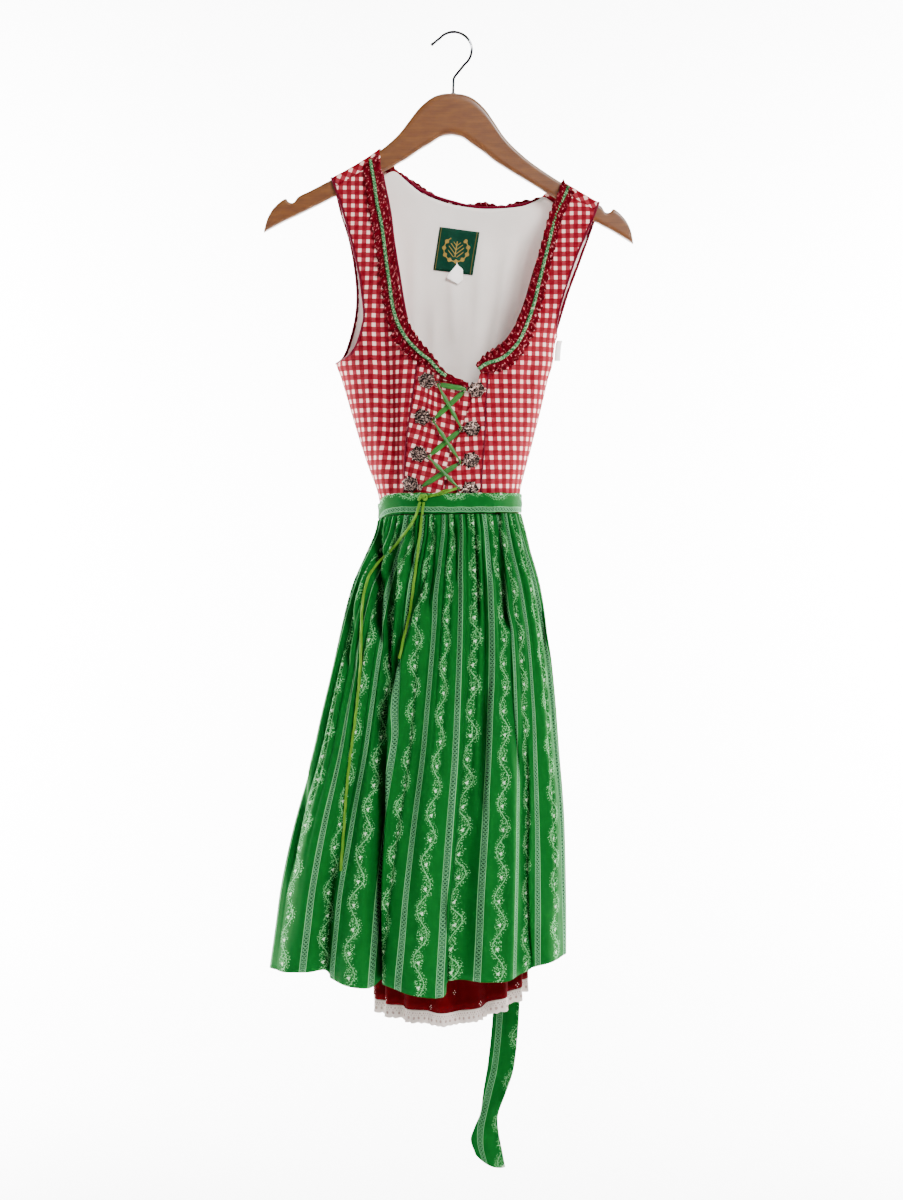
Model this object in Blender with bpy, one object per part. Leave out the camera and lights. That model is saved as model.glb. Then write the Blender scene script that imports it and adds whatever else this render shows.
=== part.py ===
"""A dirndl dress with its apron, hanging on a wooden hanger.

The origin is where the hanger's hook rests, +Z is up and the dress faces -Y. Tables and named
sizes are in millimetres, and MM turns them into Blender's metres when a point is set.
"""
from collections import namedtuple
from math import acos, cos, pi, radians, sin

import bmesh
import bpy
from mathutils import Vector

MM = 0.001

# Driving dimensions
CLOTH = 1.4            # thickness of a bodice panel
THIN_CLOTH = 1.0       # apron, skirt and lining
CLEAR = 0.3            # space between two pieces that lie together
SIDE_SEAM = 0.004      # half the side seam's gap, in radians of the section
HANGER_THICKNESS = 12.0
HANGER_TILT = radians(1.8)
HANGER_EDGE = 2.5      # rounding of the hanger's edges
CREST_CLEAR = 1.2      # shoulder cloth above the hanger's top edge
CREST_HALF = 7.9       # half depth of the cloth's fold over the hanger
CREST_DROP = 3.5       # height of that rounded fold
HOOK_WIRE = 3.4
HOOK_RADIUS = 21.0
WAIST = -549.0         # height of the waist seam
SEAM = 0.3             # half the space between two bodice panels
PIPING = 2.4
BRAID_WIDTH = 4.2
BRAID_HEIGHT = 2.2
RUFFLE_WAVE = 1.4      # how far its edges wave out and in
BAND_THICKNESS = 1.6
BAND_OUT = 5.4         # the waistband stands off by this in front, over the gathers and hooks
TIE_THICKNESS = 1.2
APRON_GATHERS = 37
GATHER_DEPTH = 1.8
SKIRT_FOLDS = 16
SKIRT_COLUMNS = 60
LACE_HEIGHT = 15.0
LACE_WIDTH = 4.6       # the flat lacing ribbon
RING_OUT = 3.6         # the hooks' rings stand off the cloth by this
CORD_DIAMETER = 3.0    # the two free lacing ends, flat ribbons gathered to a cord
PLACKET_HALF = 17.0
WAIST_MIDDLE = -6.0    # the waist's middle, left of the hook
WAIST_WIDTH = 162.0
KNOT_ACROSS = 40.0     # the apron's knot at the back
KNOT_HEIGHT = -553.0

Section = namedtuple("Section", "height left right front back")
Edge = namedtuple("Edge", "height across")
Reach = namedtuple("Reach", "reach top bottom")
Trough = namedtuple("Trough", "height across depth half_width")
Way = namedtuple("Way", "across height half_width")
Hem = namedtuple("Hem", "across forward height")
Shoulder = namedtuple("Shoulder", "run outer inner")
Girth = namedtuple("Girth", "height left right")
Place = namedtuple("Place", "across height")
Strand = namedtuple("Strand", "start_side start_row end_side end_row start_out end_out")
Strip = namedtuple("Strip", "height across depth half_width turn")
Look = namedtuple("Look", "red green blue roughness metallic")

# The dress's outline: how far each height reaches left, right, forward and back
BODY = (
    Section(-100, -300, 320, 9.5, 9.5),
    Section(-150, -300, 320, 10, 10),
    Section(-175, -290, 312, 12, 13),
    Section(-200, -262, 292, 18, 24),
    Section(-240, -215, 238, 33, 35),
    Section(-290, -176, 178, 47, 42),
    Section(-330, -155, 137, 56, 46),
    Section(-355, -146, 118, 60, 48),
    Section(-386, -138, 113, 63, 50),
    Section(-402, -132, 108, 64, 51),
    Section(-436, -122, 100, 64, 52),
    Section(-476, -110, 90, 64, 54),
    Section(-506, -100, 82, 64, 55),
    Section(-530, -91, 76, 65, 57),
    Section(-549, -87, 75, 66, 58),
    Section(-580, -87, 76, 68, 60),
)
SKIRT = (
    Section(-540, -88, 77, 65, 57),
    Section(-549, -87, 75, 66, 58),
    Section(-570, -85.5, 74, 65, 57),
    Section(-620, -88, 79, 63, 60),
    Section(-830, -95, 85, 58, 62),
    Section(-1150, -96, 86, 56, 60),
)
# The deep fold down the left front, beside the princess seam
FRONT_FOLD = (
    Trough(-300, -88, 0, 9),
    Trough(-345, -83, 5, 10),
    Trough(-400, -78, 13, 11),
    Trough(-456, -74, 17, 10),
    Trough(-500, -69, 14, 8),
    Trough(-530, -67, 6, 8),
    Trough(-546, -66, 0, 8),
    Trough(-580, -66, 0, 8),
)
# Softer folds where the back hangs loose
BACK_FOLDS = (
    (Trough(-270, -82, 0, 18), Trough(-400, -74, 7, 16), Trough(-500, -64, 4, 15),
     Trough(-535, -60, 0, 15)),
    (Trough(-250, 12, 0, 18), Trough(-420, 4, 6, 16), Trough(-500, -3, 4, 15),
     Trough(-535, -5, 0, 15)),
    (Trough(-290, 84, 0, 18), Trough(-420, 68, 7, 16), Trough(-500, 56, 4, 15),
     Trough(-535, 50, 0, 15)),
)

# Edges of the bodice panels, each from the shoulder down
NECK_LEFT = (
    Edge(-144, -87), Edge(-165, -85), Edge(-211, -76), Edge(-250, -71), Edge(-287, -65),
    Edge(-318, -60), Edge(-340, -55.5), Edge(-355, -49.5), Edge(-367, -45.5),
    Edge(-380, -43.5), Edge(-400, -44.5), Edge(-433, -49), Edge(-479, -55), Edge(-510, -57),
    Edge(-560, -58),
)
NECK_RIGHT = (
    Edge(-160, 124), Edge(-177, 124), Edge(-202, 119), Edge(-236, 110), Edge(-276, 94),
    Edge(-299, 87), Edge(-322, 80), Edge(-346, 68), Edge(-363, 57), Edge(-373, 46),
    Edge(-380, 40), Edge(-399, 38), Edge(-433, 35), Edge(-479, 33), Edge(-535, 29),
    Edge(-560, 28.5),
)
ARM_LEFT = (
    Edge(-160, -148), Edge(-170, -142), Edge(-186, -136), Edge(-211, -128), Edge(-235, -121),
    Edge(-279, -110), Edge(-305, -106), Edge(-333, -103), Edge(-350, -106), Edge(-363, -110),
    Edge(-373, -115), Edge(-380, -122), Edge(-386, -137.9),
)
ARM_RIGHT = (
    Edge(-190, 169), Edge(-198, 167), Edge(-213, 160), Edge(-239, 149), Edge(-260, 140),
    Edge(-288, 130), Edge(-321, 120), Edge(-338, 116.8),
    Edge(-348, 116.6), Edge(-355, 117.9),
)
BACK_ARM_LEFT = (
    Edge(-160, -145), Edge(-180, -139), Edge(-206, -132), Edge(-235, -123), Edge(-266, -117),
    Edge(-299, -114), Edge(-329, -116), Edge(-361, -124), Edge(-378, -131), Edge(-386, -137.9),
)
BACK_ARM_RIGHT = (
    Edge(-190, 170), Edge(-215, 162), Edge(-240, 153), Edge(-270, 142), Edge(-300, 131),
    Edge(-330, 122), Edge(-346, 117.8), Edge(-355, 117.9),
)
BACK_NECK_LEFT = (
    Edge(-136, -88), Edge(-152, -73), Edge(-163, -64), Edge(-174, -51), Edge(-182, -40),
    Edge(-200, -38), Edge(-260, -37), Edge(-350, -35), Edge(-450, -34), Edge(-560, -36),
)
BACK_NECK_RIGHT = (
    Edge(-158, 128), Edge(-165, 125), Edge(-174, 120), Edge(-185, 108), Edge(-192, 93),
    Edge(-197, 77), Edge(-260, 66), Edge(-350, 46), Edge(-450, 30), Edge(-560, 22),
)
CENTRE_LINE = (
    Edge(-400, 19), Edge(-410, 18), Edge(-433, 12), Edge(-467, 3), Edge(-499, -6),
    Edge(-524, -11), Edge(-560, -17),
)
CENTRE_GAP = (Edge(-400, 9), Edge(-430, 7), Edge(-470, 3), Edge(-500, 1.5), Edge(-560, 0.6))

# A shoulder piece's two edges: run is measured over the hanger, from front to back
FRONT_SEAM_DROP = 8.5
BACK_SEAM_DROP = 26.0
FRONT_RUN = FRONT_SEAM_DROP - CREST_DROP + CREST_HALF
BACK_RUN = BACK_SEAM_DROP - CREST_DROP + CREST_HALF
SHOULDER_LEFT = (
    Shoulder(-FRONT_RUN, -139.5, -87), Shoulder(0, -142.5, -87.5),
    Shoulder(BACK_RUN, -135.5, -70),
)
SHOULDER_RIGHT = (
    Shoulder(-FRONT_RUN, 163.5, 124), Shoulder(0, 166, 125), Shoulder(BACK_RUN, 160.5, 104),
)

# The back neck's edge, from the left shoulder piece to the right one
BACK_NECK = (
    Place(-62, -164), Place(-51, -173), Place(-40, -181), Place(-25, -187), Place(-10, -191.5),
    Place(17, -198),
    Place(41, -200), Place(77, -197), Place(92, -192.5),
)
# Heights at which the panels' cross seams of points lie, the same on both sides of a seam
FRONT_LEVELS = (-420, -436, -456, -476, -496, -516, -533, WAIST)
BACK_LEVELS = (-386, -412, -440, -468, -496, -524, WAIST)
LEVELS = {
    "front_side_left": (-186, -211, -235, -257, -279, -305, -333, -350, -363, -373, -380, -386,
                        -402) + FRONT_LEVELS,
    "front_side_right": (-224, -242, -260, -280, -299, -322, -338, -348, -355, -364, -373,
                         -381, -402) + FRONT_LEVELS,
    "front_centre_left": FRONT_LEVELS,
    "front_centre_right": FRONT_LEVELS,
    "back_side_left": (-208, -220, -235, -266, -299, -329, -361, -376) + BACK_LEVELS,
    "back_side_right": (-235, -266, -299, -329, -346, -355) + BACK_LEVELS,
    "back_centre": (-208, -220, -235, -266, -299, -329, -361) + BACK_LEVELS,
}
# Shares of the way from a panel's sloping top to the first of those heights
UPPER_ROWS = {
    "front_side_left": (0, 0.5), "front_side_right": (0, 0.5),
    "front_centre_left": (0, 0.33, 0.67), "front_centre_right": (0, 0.33, 0.67),
    "back_side_left": (0, 0.13, 0.26, 0.39, 0.53, 0.67, 0.84),
    "back_side_right": (0, 0.1, 0.2, 0.25, 0.45, 0.7), "back_centre": (0, 0.3, 0.65),
}

# An armhole's edges are read from the tables below these heights, and over the hanger by run
ARM_TOP = {"left": (-180, -200), "right": (-205, -222)}
SHOULDER_RUNS = (26, 19, 13, 9, 6, 3, 0, -3, -6, -9)
ARM_HOLE = {"left": Vector((-400, 0, -250)), "right": Vector((400, 0, -250))}
NECK_MIDDLE = Vector((20, 0, -260))
ABOVE_BACK_NECK = Vector((20, 0, -100))
ACROSS = Vector((1, 0, 0))
FORWARD = Vector((0, -1, 0))

# Upper edges that aren't level, as places along the neck
CENTRE_TOP_LEFT = (
    Place(0.0, -370), Place(0.25, -378), Place(0.4, -392), Place(0.55, -402), Place(1.0, -410),
)
CENTRE_TOP_RIGHT = (Place(0.0, -405), Place(0.3, -396), Place(0.6, -387), Place(1.0, -381))
BACK_NECK_DIP = (
    Place(-40, -182.5), Place(-25, -188.8), Place(-10, -193), Place(17, -198), Place(41, -200),
    Place(77, -197),
)

LINING_TOP = (
    Place(-133, -200), Place(-110, -182), Place(-90, -170), Place(-72, -161), Place(-64, -166),
    Place(-51, -177), Place(-38, -186), Place(-10, -196), Place(17, -201), Place(41, -202.5),
    Place(77, -200), Place(93, -195), Place(105, -190), Place(114, -195), Place(132, -206),
    Place(155, -223),
)

# Middle line and half width of the neck ruffle, which the braid follows
RUFFLE_LEFT = (
    Way(-98, -150, 9), Way(-94, -173, 10), Way(-90, -203, 10), Way(-84, -232, 10),
    Way(-77, -282, 9.5), Way(-69, -330, 8.5), Way(-59, -356, 7.5), Way(-49, -370, 7),
    Way(-39, -380, 6.5), Way(-27, -390, 5.5), Way(-16, -402, 4.5), Way(-1, -411, 3.6),
    Way(8, -414, 3.2),
)
RUFFLE_RIGHT = (
    Way(131, -181, 8), Way(123, -202, 7), Way(115, -222, 7), Way(106, -256, 7.5),
    Way(97, -290, 8), Way(89, -320, 8.5), Way(79, -347, 9), Way(70, -366, 8.5),
    Way(58, -380, 8), Way(45, -388, 7), Way(32, -393, 5), Way(26, -398, 3.6),
)
BACK_RUFFLE = (
    Place(-98, -150), Place(-90, -155), Place(-79, -163), Place(-68, -172), Place(-54, -182),
    Place(-34, -191), Place(-10, -199), Place(17, -204), Place(41, -206), Place(77, -203),
    Place(97, -199), Place(112, -194), Place(123, -188), Place(130, -181),
)
BACK_RUFFLE_HALF = 6.0

HANGER = (
    Reach(0, -70.5, -118.5), Reach(12, -71.5, -121), Reach(24, -76, -129), Reach(38, -88, -138),
    Reach(50, -104, -147), Reach(60, -118, -153), Reach(72, -130.5, -160), Reach(90, -145.5, -170),
    Reach(105, -155.7, -178.3), Reach(120, -165, -186.5), Reach(135, -173.5, -195),
    Reach(150, -182, -203.5), Reach(164, -189.8, -211), Reach(177, -197, -218),
    Reach(181, -203, -220), Reach(187, -203, -223), Reach(191, -199, -225),
    Reach(205, -211, -233), Reach(212, -224, -237), Reach(215, -235, -239),
)

HOOKS_LEFT = (Place(-32, -411), Place(-37, -452), Place(-41, -494), Place(-50, -528))
HOOKS_RIGHT = (Place(24, -421), Place(19, -465), Place(18, -501), Place(17, -534))
RINGS_LEFT = (Place(-20, -415), Place(-25, -456), Place(-30, -497), Place(-39, -532))
RINGS_RIGHT = (Place(12, -421), Place(7, -466), Place(6, -504), Place(5, -535))
ROSETTE = 9.0
RING = 2.9
UNDER = 1.7            # a strand under a ring
OVER = 5.6             # a strand over a ring
STRANDS = (
    Strand("left", 0, "right", 0, UNDER, OVER),
    Strand("left", 0, "right", 1, OVER, OVER),
    Strand("right", 0, "left", 1, UNDER, UNDER),
    Strand("left", 1, "right", 2, OVER, OVER),
    Strand("right", 1, "left", 2, UNDER, UNDER),
    Strand("left", 2, "right", 3, OVER, OVER),
    Strand("right", 2, "left", 3, UNDER, UNDER),
)

# The waistband's edges, and where the apron skirt reaches at each height and at its hem
BAND_TOP = (Place(-86, -549), Place(-78, -542), Place(-66, -538.5), Place(3, -539), Place(76, -537))
BAND_BOTTOM = (Place(-86, -566), Place(-56, -562.5), Place(3, -562), Place(74, -559))
BAND_START = radians(9)
BAND_END = radians(171)
APRON = (
    Girth(-560, -92, 79), Girth(-584, -98, 86), Girth(-605, -107, 92), Girth(-645, -125, 104),
    Girth(-708, -142, 114), Girth(-781, -158, 121), Girth(-839, -169, 124),
    Girth(-912, -187, 127), Girth(-991, -203, 128), Girth(-1043, -210, 128),
    Girth(-1095, -216, 127),
)
# The apron's hem in plan: crests and valleys from its left edge behind to its right edge
APRON_HEM = (
    Hem(-172, -46, -1082), Hem(-204, -20, -1084), Hem(-215, 10, -1086), Hem(-196, 44, -1086),
    Hem(-170, 60, -1084), Hem(-151, 50, -1083), Hem(-141, 64, -1090), Hem(-120, 86, -1095),
    Hem(-98, 92, -1097), Hem(-85, 72, -1095), Hem(-79, 68, -1095), Hem(-74, 84, -1095),
    Hem(-52, 103, -1101), Hem(-28, 110, -1104), Hem(-12, 104, -1103), Hem(-9, 84, -1092),
    Hem(4, 76, -1089), Hem(30, 94, -1089), Hem(56, 96, -1088), Hem(76, 76, -1082),
    Hem(88, 66, -1077), Hem(104, 66, -1073), Hem(121, 40, -1069), Hem(127, 12, -1068),
    Hem(118, -20, -1070), Hem(96, -42, -1072),
)

# The skirt's hem by degrees round it from its left side, by the front
SKIRT_HEM = (
    Place(0, -1120), Place(45, -1126), Place(90, -1131), Place(135, -1116), Place(180, -1098),
    Place(225, -1104), Place(270, -1110), Place(315, -1112), Place(360, -1120),
)

TAIL = (
    Strip(-566.6, 49.2, 57.5, 4.4, 0), Strip(-585, 49, 63, 11, 6), Strip(-620, 50, 67, 15, 8),
    Strip(-700, 54, 72, 16, -6),
    Strip(-850, 58, 74, 17, 8), Strip(-1000, 61, 78, 16, -8), Strip(-1120, 62, 82, 16, 0),
    Strip(-1165, 61, 84, 16, 6), Strip(-1223, 55, 86, 16, 0), Strip(-1255, 47, 87, 14, -20),
    Strip(-1280, 41, 88, 12, -30), Strip(-1300, 38, 88, 15, -12), Strip(-1320, 38, 89, 19, 0),
    Strip(-1340, 43, 90, 18, 8),
)
SHORT_TAIL = (
    Strip(-566.6, 38.8, 57.5, 4.4, 0), Strip(-585, 27, 62.5, 10, -6), Strip(-620, 19, 66, 15, -8),
    Strip(-700, 14, 70, 16, 6),
    Strip(-800, 10, 72, 16, -6), Strip(-900, 9, 73, 17, 6), Strip(-960, 8, 74, 17, 0),
)

# Free lacing ends, from the knot down over the waistband and the apron
KNOT = Place(-35, -544)
END_LONG = (
    Place(-37.5, -549), Place(-40, -557), Place(-47, -570), Place(-57, -584), Place(-72, -602),
    Place(-88, -617), Place(-98, -632), Place(-103, -648), Place(-106, -668), Place(-107, -700),
    Place(-108, -740), Place(-113, -790), Place(-119, -835), Place(-124, -880),
    Place(-127, -925), Place(-130, -968),
)
END_SHORT = (
    Place(-33.5, -549.5), Place(-35, -558), Place(-39, -580), Place(-43, -612), Place(-47, -642),
    Place(-52, -676), Place(-58, -702), Place(-63, -726),
)
END_POINTS = 38

GINGHAM = Look(0.55, 0.09, 0.12, 0.85, 0)
RUFFLE_RED = Look(0.42, 0.01, 0.03, 0.85, 0)
PIPING_RED = Look(0.25, 0.01, 0.06, 0.7, 0)
BRAID_GREEN = Look(0.2, 0.5, 0.25, 0.6, 0)
LINING_WHITE = Look(0.72, 0.7, 0.65, 0.9, 0)
APRON_GREEN = Look(0.02, 0.25, 0.05, 0.8, 0)
SKIRT_RED = Look(0.25, 0.01, 0.02, 0.85, 0)
LACE_WHITE = Look(0.75, 0.72, 0.66, 0.9, 0)
RIBBON_GREEN = Look(0.1, 0.35, 0.06, 0.45, 0)
FRAY_GREEN = Look(0.3, 0.5, 0.1, 0.5, 0)
LABEL_GREEN = Look(0.01, 0.08, 0.05, 0.8, 0)
TAG_WHITE = Look(0.8, 0.8, 0.78, 0.8, 0)
WOOD = Look(0.38, 0.17, 0.07, 0.45, 0)
CHROME = Look(0.7, 0.7, 0.7, 0.2, 1)
OLD_SILVER = Look(0.2, 0.15, 0.14, 0.45, 1)


# Curves read from the tables

def read(rows, at):
    """The second column of a table as a smooth curve of its first, which runs one way."""
    if rows[0][0] > rows[-1][0]:
        rows = rows[::-1]
    spot = 1
    while spot < len(rows) - 1 and rows[spot][0] < at:
        spot += 1
    low, high = rows[spot - 1], rows[spot]
    before = rows[max(spot - 2, 0)]
    after = rows[min(spot + 1, len(rows) - 1)]
    span = high[0] - low[0]
    share = min(max((at - low[0]) / span, 0), 1)
    low_slope = (high[1] - before[1]) / (high[0] - before[0]) * span
    high_slope = (after[1] - low[1]) / (after[0] - low[0]) * span
    square, cube = share ** 2, share ** 3
    return (
        (2 * cube - 3 * square + 1) * low[1] + (cube - 2 * square + share) * low_slope
        + (3 * square - 2 * cube) * high[1] + (cube - square) * high_slope
    )


def column(rows, name, at):
    """read() for any named column of a table."""
    return read([(row[0], getattr(row, name)) for row in rows], at)


def ease(share):
    """0 to 1 with a soft start and end."""
    share = min(max(share, 0), 1)
    return share * share * (3 - 2 * share)


def mix(low, high, share):
    return low + (high - low) * share


def smooth_line(points, count):
    """count points evenly along a smooth curve through the given ones."""
    fine = []
    last = len(points) - 1
    for spot in range(last):
        a, b = points[max(spot - 1, 0)], points[spot]
        c, d = points[spot + 1], points[min(spot + 2, last)]
        for step in range(16):
            t = step / 16
            fine.append(
                (b * 2 + (c - a) * t + (a * 2 - b * 5 + c * 4 - d) * t ** 2
                 + (b * 3 - a - c * 3 + d) * t ** 3) / 2
            )
    fine.append(points[-1])
    lengths = [0.0]
    for first, second in zip(fine, fine[1:]):
        lengths.append(lengths[-1] + (second - first).length)
    line = []
    spot = 0
    for number in range(count):
        wanted = lengths[-1] * number / (count - 1)
        while spot < len(fine) - 2 and lengths[spot + 1] < wanted:
            spot += 1
        share = (wanted - lengths[spot]) / max(lengths[spot + 1] - lengths[spot], 1e-9)
        line.append(fine[spot].lerp(fine[spot + 1], min(max(share, 0), 1)))
    return line


# The cloth's surface

def crest(across):
    """Height of the shoulder cloth's middle over the hanger's sloping top edge."""
    reach = across - 170 * -sin(HANGER_TILT)
    top = column(HANGER, "top", abs(reach))
    return top * cos(HANGER_TILT) - reach * sin(HANGER_TILT) + CREST_CLEAR + CLOTH / 2


def troughs(across, height, front):
    """How far the large folds push the wall inwards here."""
    folds = (FRONT_FOLD,) if front else BACK_FOLDS
    pushed = 0.0
    for fold in folds:
        inside = fold[-1].height < height < fold[0].height
        depth = column(fold, "depth", height) if inside else 0
        offset = (across - column(fold, "across", height)) / column(fold, "half_width", height)
        pushed += depth * 2.718 ** (-offset * offset)
    return pushed


def wall(angle, height, front, folded=True):
    """A point of the dress's wall: angle 0 is its left side, pi its right, both seams."""
    left, right = column(BODY, "left", height), column(BODY, "right", height)
    depth = column(BODY, "front" if front else "back", height)
    across = (left + right) / 2 - (right - left) / 2 * cos(angle)
    out = depth * sin(angle)
    drop = crest(across) - height
    if drop < 60 and abs(across) > 40:
        out = mix(CREST_HALF, out, ease((drop - CREST_DROP) / 30))
    if folded:
        out -= troughs(across, height, front) * ease(sin(angle) * 3)
    return Vector((across, -out if front else out, height))


def angle_at(across, height):
    """The section's angle at which the wall is this far across."""
    left, right = column(BODY, "left", height), column(BODY, "right", height)
    share = ((left + right) / 2 - across) / ((right - left) / 2)
    return acos(min(max(share, -1), 1))


def front(across, height):
    return wall(angle_at(across, height), height, True)


def back(across, height):
    return wall(angle_at(across, height), height, False)


def over_shoulder(across, along):
    """The cloth over the hanger: along is 0 on the crest, above 0 in front, below 0 behind."""
    run = abs(along)
    top = crest(across)
    if run < CREST_HALF:
        turn = run / CREST_HALF * pi / 2
        out = CREST_HALF * sin(turn)
        height = top - CREST_DROP * (1 - cos(turn))
        return Vector((across, -out if along > 0 else out, height))
    height = top - CREST_DROP - (run - CREST_HALF)
    return front(across, height) if along > 0 else back(across, height)


def along_of(across, height):
    """over_shoulder's second value for a point of the wall at this height."""
    drop = crest(across) - height
    if drop < CREST_DROP:
        return acos(max(1 - max(drop, 0) / CREST_DROP, 0)) * 2 / pi * CREST_HALF
    return drop - CREST_DROP + CREST_HALF


def lifted(surface, first, second, out, step=0.5):
    """A point of surface(first, second), moved out along its normal, away from the dress."""
    here = surface(first, second)
    over = surface(first + step, second) - surface(first - step, second)
    down = surface(first, second + step) - surface(first, second - step)
    normal = over.cross(down).normalized()
    upward = 40 if abs(here.y) < CREST_HALF else 0
    if normal.dot(Vector((0, here.y, upward))) < 0:
        normal = -normal
    return here + normal * out


def lifted_wall(angle, height, front, out, folded=True):
    """A point of the wall by its angle, moved out along its level normal."""
    here = wall(angle, height, front, folded)
    ahead = wall(angle + 0.02, height, front, folded) - wall(angle - 0.02, height, front, folded)
    normal = Vector((ahead.y, -ahead.x, 0)).normalized()
    if normal.dot(here - Vector((WAIST_MIDDLE, 0, height))) < 0:
        normal = -normal
    return here + normal * out


# Building

def material(name, look):
    made = bpy.data.materials.new(name)
    made.use_nodes = True
    shader = made.node_tree.nodes["Principled BSDF"]
    shader.inputs["Base Color"].default_value = (look.red, look.green, look.blue, 1)
    shader.inputs["Roughness"].default_value = look.roughness
    shader.inputs["Metallic"].default_value = look.metallic
    return made


def finished(mesh, name, look):
    """The bmesh as a named object, facing out, with its own material."""
    bmesh.ops.recalc_face_normals(mesh, faces=mesh.faces)
    data = bpy.data.meshes.new(name)
    mesh.to_mesh(data)
    mesh.free()
    data.shade_smooth()
    data.set_sharp_from_angle(angle=radians(50))
    data.materials.append(material(name, look))
    piece = bpy.data.objects.new(name, data)
    bpy.context.collection.objects.link(piece)
    return piece


def grid(columns, rows, place):
    """A grid whose points are set by place(share across, share down), in millimetres."""
    mesh = bmesh.new()
    bmesh.ops.create_grid(mesh, x_segments=columns, y_segments=rows, size=0.5)
    for point in mesh.verts:
        point.co = place(point.co.x + 0.5, 0.5 - point.co.y) * MM
    return mesh


def sheet(name, look, columns, rows, place, thickness, ring=False):
    """A cloth wall of even thickness about the middle surface that place() gives."""
    mesh = grid(columns, rows, place)
    if ring:
        bmesh.ops.remove_doubles(mesh, verts=mesh.verts, dist=0.02 * MM)
    piece = finished(mesh, name, look)
    wall_of = piece.modifiers.new("cloth thickness", "SOLIDIFY")
    wall_of.thickness = thickness * MM
    wall_of.offset = 0
    wall_of.use_even_offset = True
    wall_of.thickness_clamp = 2
    return piece


def tube(name, look, sides, rows, place, closed=False):
    """A closed solid round a line: place(share round, share along) gives its skin."""
    mesh = grid(sides, rows, place)
    bmesh.ops.remove_doubles(mesh, verts=mesh.verts, dist=0.02 * MM)
    if not closed:
        bmesh.ops.holes_fill(mesh, edges=mesh.edges, sides=0)
    return finished(mesh, name, look)


def along_line(line, half_width, half_height, outward, flat=False):
    """place() for tube(): an oval round a list of points, its height towards outward(point).

    flat sets four sides square, as wide and as high as a ribbon.
    """
    count = len(line) - 1
    corner = pi / 4 if flat else 0
    reach = 2 ** 0.5 if flat else 1
    is_loop = (line[0] - line[-1]).length < 0.01

    def place(share_round, share_along):
        spot = round(share_along * count)
        here = line[spot]
        if is_loop and spot in (0, count):
            ahead = line[1] - line[-2]
        else:
            ahead = line[min(spot + 1, count)] - line[max(spot - 1, 0)]
        side = ahead.cross(outward(here)).normalized()
        up = side.cross(ahead).normalized()
        turn = 2 * pi * share_round + corner
        width = half_width(share_along) if callable(half_width) else half_width
        return here + (side * (width * cos(turn)) + up * (half_height * sin(turn))) * reach

    return place


# Bodice

def panel(name, left, right, top, columns, is_front):
    """A bodice panel between two edges read by height, from its top edge to the waist."""
    levels, upper = LEVELS[name], UPPER_ROWS[name]
    rows = len(upper) + len(levels) - 1

    def place(share, down):
        row = round(down * rows)
        head = top(share)
        part = upper[row] if row < len(upper) else 1
        height = mix(head.height, levels[0], part) if part < 1 else levels[row - len(upper)]
        start, end = SIDE_SEAM, pi - SIDE_SEAM
        if left and left(height) > column(BODY, "left", height) + 0.6:
            start = angle_at(left(height) + SEAM, height)
        if right and right(height) < column(BODY, "right", height) - 0.6:
            end = angle_at(right(height) - SEAM, height)
        angle = mix(start, end, share)
        if head.across is not None and row == 0:
            angle = angle_at(head.across, height)
        return wall(angle, height, is_front)

    return sheet(name, GINGHAM, columns, rows, place, CLOTH)


def edge(rows, below=None):
    """An edge as a function of height; under the height below it is the side seam."""
    def at(height):
        if below is not None and height <= below:
            return -1000 if rows[0].across < 0 else 1000
        return read(rows, height)
    return at


def centre_gap(side):
    """The centre front edge on one side of the opening."""
    return lambda height: read(CENTRE_LINE, height) + side * read(CENTRE_GAP, height)


def shoulder_edge(rows, drop):
    """The level of a shoulder seam, from the panel's left edge to its right edge."""
    row = rows[0] if drop == FRONT_SEAM_DROP else rows[-1]
    low, high = sorted((row.outer, row.inner))

    def at(share):
        across = mix(low, high, share)
        return Place(across, crest(across) - drop - SEAM)
    return at


def neck_edge(rows, start=0, end=1):
    """The level of a neck edge, from the panel's left edge to its right edge."""
    return lambda share: Place(None, read(rows, mix(start, end, share)))


def build_bodice():
    panel("front_side_left", edge(ARM_LEFT, -386), edge(NECK_LEFT),
          shoulder_edge(SHOULDER_LEFT, FRONT_SEAM_DROP), 9, True)
    panel("front_side_right", edge(NECK_RIGHT), edge(ARM_RIGHT, -355),
          shoulder_edge(SHOULDER_RIGHT, FRONT_SEAM_DROP), 7, True)
    panel("front_centre_left", edge(NECK_LEFT), centre_gap(-1), neck_edge(CENTRE_TOP_LEFT),
          5, True)
    panel("front_centre_right", centre_gap(1), edge(NECK_RIGHT), neck_edge(CENTRE_TOP_RIGHT),
          4, True)
    panel("back_side_left", edge(BACK_ARM_LEFT, -386), edge(BACK_NECK_LEFT),
          shoulder_edge(SHOULDER_LEFT, BACK_SEAM_DROP), 6, False)
    panel("back_side_right", edge(BACK_NECK_RIGHT), edge(BACK_ARM_RIGHT, -355),
          shoulder_edge(SHOULDER_RIGHT, BACK_SEAM_DROP), 6, False)
    panel("back_centre", edge(BACK_NECK_LEFT), edge(BACK_NECK_RIGHT),
          neck_edge(BACK_NECK_DIP, -40, 77), 7, False)

    def placket(share, down):
        height = mix(-416, WAIST + 2, down)
        across = read(CENTRE_LINE, height) + mix(-PLACKET_HALF, PLACKET_HALF, share)
        return lifted(front, across, height, -CLOTH / 2 - CLEAR - THIN_CLOTH / 2 - 0.2)

    sheet("front_placket", GINGHAM, 3, 8, placket, THIN_CLOTH)


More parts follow.
